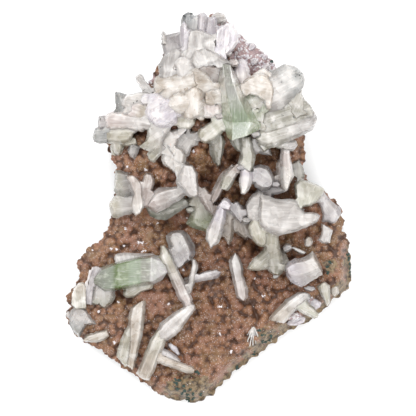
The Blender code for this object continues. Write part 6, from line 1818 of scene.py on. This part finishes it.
# Low crystals in the hollows between the others: x, y and tone
LOW_CRYSTALS = [
    (2.8, 65.9, "soft_white"), (18.9, 29.4, "soft_white"), (7.4, 61.5, "pink"), (10, 57.6, "pink"),
    (26.6, 9.5, "lilac_grey"), (15.2, -4.8, "grey"), (-7.2, -0.5, "green_grey"), (13, 16, "lilac_grey"),
    (4.4, 36.6, "pink"),
]
LOW_CRYSTAL_SIZE = (2.2, 1.5)        # half length and half width
LOW_CRYSTAL_DROP = 3.0               # how far they stay below the crystals round them
LOW_CRYSTAL_LOOK = 2.0               # and how far round them those are looked for

# Dark specks on the crystals: x, y, spread and count
DARK_SPECKS = [
    (-9.4, 76.6, 0.8, 16), (-7.2, 77.2, 0.7, 10), (2.2, 77.2, 0.8, 10), (4.6, 76.2, 1.0, 14),
    (36, 53, 0.9, 12), (29.3, 37, 0.3, 3), (33.6, 35.9, 0.3, 3), (28.9, 49.8, 0.2, 2), (20.4, 33.8, 0.1, 1),
    (-28.4, 42.6, 0.3, 3), (-29.6, 41.9, 0.2, 2), (-37.4, 38.6, 0.4, 6), (-43.3, 35.4, 0.4, 6),
    (-19, 56.4, 0.6, 5), (-26, 46.8, 0.4, 3),
]
SPECK_DARK = (0.05, 0.055, 0.055)


def surface_height(tree, x, y):
    """Height in mm of the highest face over a place, or None where there is none."""
    hit = tree.ray_cast(Vector((x * MM, y * MM, 1.0)), Vector((0.0, 0.0, -1.0)))[0]
    return None if hit is None else hit.z / MM


def add_low_crystals(piece, grown_tree):
    long, wide = LOW_CRYSTAL_SIZE
    away = LOW_CRYSTAL_LOOK
    for number, (x, y, tone) in enumerate(LOW_CRYSTALS):
        around = [surface_height(grown_tree, x + away * math.cos(turn), y + away * math.sin(turn))
                  for turn in np.linspace(0.0, math.tau, 8, endpoint=False)]
        level = max(height for height in around if height is not None) - LOW_CRYSTAL_DROP
        shape = [(x - long, y), (x - 0.5 * long, y - wide), (x + 0.6 * long, y - wide), (x + long, y),
                 (x + 0.5 * long, y + wide), (x - 0.6 * long, y + wide)]
        spec = crystal((x - long, y, level), (x + long, y, level - 0.8), shape, 1.2, 0.5, 0.2)
        add_body(piece, spec, KINDS["glassy"], TONES[tone], LOW_CRYSTAL_SEED + number, LOW_CRYSTAL_DEPTH)


def add_chip(piece, number, rock_tree, outline, lift, rise, tone_name, kind_name):
    kind, tone = KINDS[kind_name], TONES[tone_name]
    points = np.array(outline, float)
    centre = points.mean(axis=0)
    level = surface_height(rock_tree, *centre) + 0.4 * lift
    far = points[np.argmax(np.hypot(*(points - centre).T))]
    near = 2.0 * centre - far
    spec = crystal((*near, level), (*far, level - 0.5), outline, rise, 0.35, 0.15)
    draw = random.Random(CHIP_SEED + number)
    axes, top = add_body(piece, spec, dict(kind, corner=0.12), tone, CHIP_SEED + number, CHIP_DEPTH)
    add_plates(piece, spec, kind, tone, axes, top, draw, CHIP_PLATE_SEED + number)
    if kind["crumbs"]:
        add_crumbs(piece, spec, axes, top, draw, shaded(tone, 1.1), CHIP_CRUMBS)


def add_needle(piece, number, rock_tree, root, tip, width):
    start = surface_height(rock_tree, *root) + 1.4
    stop = surface_height(rock_tree, *tip) + 0.7
    along = np.subtract(tip, root)
    across = np.array((-along[1], along[0])) / np.hypot(*along) * width
    base, end = np.array(root), np.array(tip)
    outline = [base - across, end - across * 0.5, end + along * 0.05, end + across * 0.5, base + across]
    spec = crystal((*root, start), (*tip, stop), outline, 0.4, 0.5, 0.04)
    kind = dict(KINDS["blade"], ragged=0.0)
    add_body(piece, spec, kind, TONES["bright"], NEEDLE_SEED + number, NEEDLE_DEPTH)


def make_chips(rock_tree, grown_tree, material):
    piece = Piece("small_chips")
    for number, chip in enumerate(CHIPS):
        add_chip(piece, number, rock_tree, *chip)
    for number, needle in enumerate(NEEDLES):
        add_needle(piece, number, rock_tree, *needle)
    add_low_crystals(piece, grown_tree)
    return piece.make([material], ())


def make_grains(rock_tree, grown_tree, materials):
    """Dark specks, druse, and white points and sparkles that are painted glints, on the crust and the
    crystals.
    """
    draw = random.Random(GRAIN_SEED)
    piece = Piece("crust_grains")

    def scatter(x, y, size, tone, slot=0):
        height = surface_height(rock_tree, x, y)
        if height is not None and surface_height(grown_tree, x, y) is None:
            add_grain(piece, (x, y, height), (size, size * 0.8, size * 1.2), draw, tone, slot=slot)

    for x, y, spread, count in DARK_SPECKS:
        for _ in range(count):
            place = (x + draw.gauss(0, 1) * spread, y + draw.gauss(0, 1) * spread)
            height = surface_height(grown_tree, *place)
            if height is not None:
                size = draw.uniform(0.2, 0.4)
                add_grain(piece, (*place, height), (size, size, 0.5 * size), draw, SPECK_DARK, 0.0, 1)

    for x, y in CELADONITE_SPOTS:
        for _ in range(SPOT_SPECKS):
            scatter(x + draw.gauss(0, 0.35), y + draw.gauss(0, 0.35), draw.uniform(0.35, 0.75),
                    CELADONITE, 1)
    for x, y in GLINT_SPOTS:
        for _ in range(SPOT_POINTS):
            scatter(x + draw.gauss(0, 0.3), y + draw.gauss(0, 0.3), draw.uniform(0.35, 0.7), GLINT)
    for x, y, radius in DRUSE_PATCHES:
        for _ in range(DRUSE_GRAINS):
            tone = shaded(TONES[draw.choice(("lilac", "lilac", "white", "bright", "pink"))], 1.4)
            scatter(x + draw.gauss(0, 0.45) * radius, y + draw.gauss(0, 0.45) * radius,
                    draw.uniform(0.35, 0.85), tone)
    wide, long = SPARKLE_AREA
    for _ in range(SPARKLES):
        tone = shaded(GLINT, draw.uniform(0.7, 1.0))
        scatter(draw.uniform(-wide, wide), draw.uniform(-long, long), draw.uniform(0.1, 0.28), tone)
    return piece.make(materials, (), joined=False)


# Colours along the green prisms: place in mm and colour there
UPPER_ZONES = [
    (27, (0.235, 0.27, 0.165)), (30, (0.155, 0.21, 0.105)), (37.5, (0.15, 0.205, 0.10)),
    (40, (0.22, 0.245, 0.17)), (46, (0.26, 0.255, 0.22)), (51, (0.215, 0.20, 0.165)),
    (53.5, (0.11, 0.10, 0.068)), (57, (0.09, 0.083, 0.052)),
]
LOWER_ZONES = [
    (-46, (0.235, 0.235, 0.19)), (-43.5, (0.28, 0.29, 0.245)), (-38.5, (0.31, 0.345, 0.275)),
    (-37.2, (0.145, 0.20, 0.076)), (-32, (0.145, 0.20, 0.076)), (-31.5, (0.247, 0.308, 0.20)),
    (-27.4, (0.255, 0.308, 0.21)), (-26.8, (0.228, 0.232, 0.175)), (-23.4, (0.237, 0.232, 0.19)),
    # painted highlight: the near-white right end where it sparkles
    (-22.9, (0.66, 0.64, 0.63)), (-17, (0.70, 0.68, 0.68)),
]


# Each green prism's sections, colours and the axis that they change along, x or y
PRISMS = {
    "upper_green_apophyllite": (UPPER_GREEN_PRISM, UPPER_ZONES, 1),
    "lower_green_apophyllite": (LOWER_GREEN_PRISM, LOWER_ZONES, 0),
}
PRISM_ANGLE = 20.0       # a prism's edges are sharp above this angle
FIRST_SEED = 1000        # where the crystals' random draws begin
SEED_STEP = 500          # and how far apart they are


def make_prism(name, sections, zones, axis_index, material):
    piece = Piece("grown_" + name)
    add_prism(piece, sections, zones, axis_index)
    return piece.make([material], [name], PRISM_ANGLE)


def make_crystals(material):
    made = []
    seed = FIRST_SEED
    specs = [spec for slot_name, crystals in NODES.values() for look, spec in crystals.values()]
    covers = covers_of(specs, [UPPER_GREEN_PRISM, LOWER_GREEN_PRISM])
    for name, (slot_name, crystals) in NODES.items():
        piece = Piece("grown_" + name)
        for look, spec in crystals.values():
            seed += SEED_STEP
            add_crystal(piece, look, spec, seed, name in CROWDS, covers)
        made.append(piece.make([material], [name]))
    return made


def make_floor():
    mesh = bpy.data.meshes.new("floor")
    half = FLOOR_HALF
    mesh.from_pydata([(-half, -half, 0), (half, -half, 0), (half, half, 0), (-half, half, 0)], [],
                     [(0, 1, 2, 3)])
    obj = add_object("floor", mesh)
    obj.location.z = -FLOOR_DROP
    material, tree = new_material("pale_floor")
    speck = noise(tree, place_in_mm(tree), 40.0)
    colour = mixed(tree, speck, (0.96, 0.96, 0.96), (0.98, 0.98, 0.98))
    surface = node(tree, "BsdfPrincipled", {"Base Color": colour, "Roughness": 0.9})
    finish_surface(tree, surface.outputs[0])
    mesh.materials.append(material)


def add_area_light(name, place, size, watts):
    light = bpy.data.lights.new(name, "AREA")
    light.shape = "DISK"
    light.size = size
    light.energy = watts
    obj = add_object(name, light)
    obj.location = place
    obj.rotation_euler = Vector(place).to_track_quat("Z", "Y").to_euler()


def make_lights():
    world = bpy.data.worlds.new("soft_room")
    bpy.context.scene.world = world
    world.use_nodes = True
    background = world.node_tree.nodes["Background"]
    background.inputs["Color"].default_value = (1.0, 1.0, 1.0, 1.0)
    background.inputs["Strength"].default_value = ROOM_STRENGTH
    for light in LIGHTS:
        add_area_light(*light)


def make_camera():
    camera = bpy.data.cameras.new("front")
    camera.sensor_width = VIEW_SENSOR
    camera.lens = VIEW_LENS
    camera.clip_end = 10.0
    obj = add_object("front", camera)
    obj.location = VIEW_PLACE
    bpy.context.scene.camera = obj


def main():
    bpy.context.scene.view_settings.view_transform = "Standard"
    stilbite = stilbite_material()
    apophyllite = apophyllite_material()
    druse = druse_material()
    rock = make_rock(rock_material())
    grown = make_crystals(stilbite)
    grown += [make_prism(name, *prism, apophyllite) for name, prism in PRISMS.items()]
    rock_tree = tree_of([rock])
    grown_tree = tree_of(grown)
    make_chips(rock_tree, grown_tree, stilbite)
    make_grains(rock_tree, grown_tree, [druse, celadonite_material()])
    make_floor()
    make_lights()
    make_camera()


main()
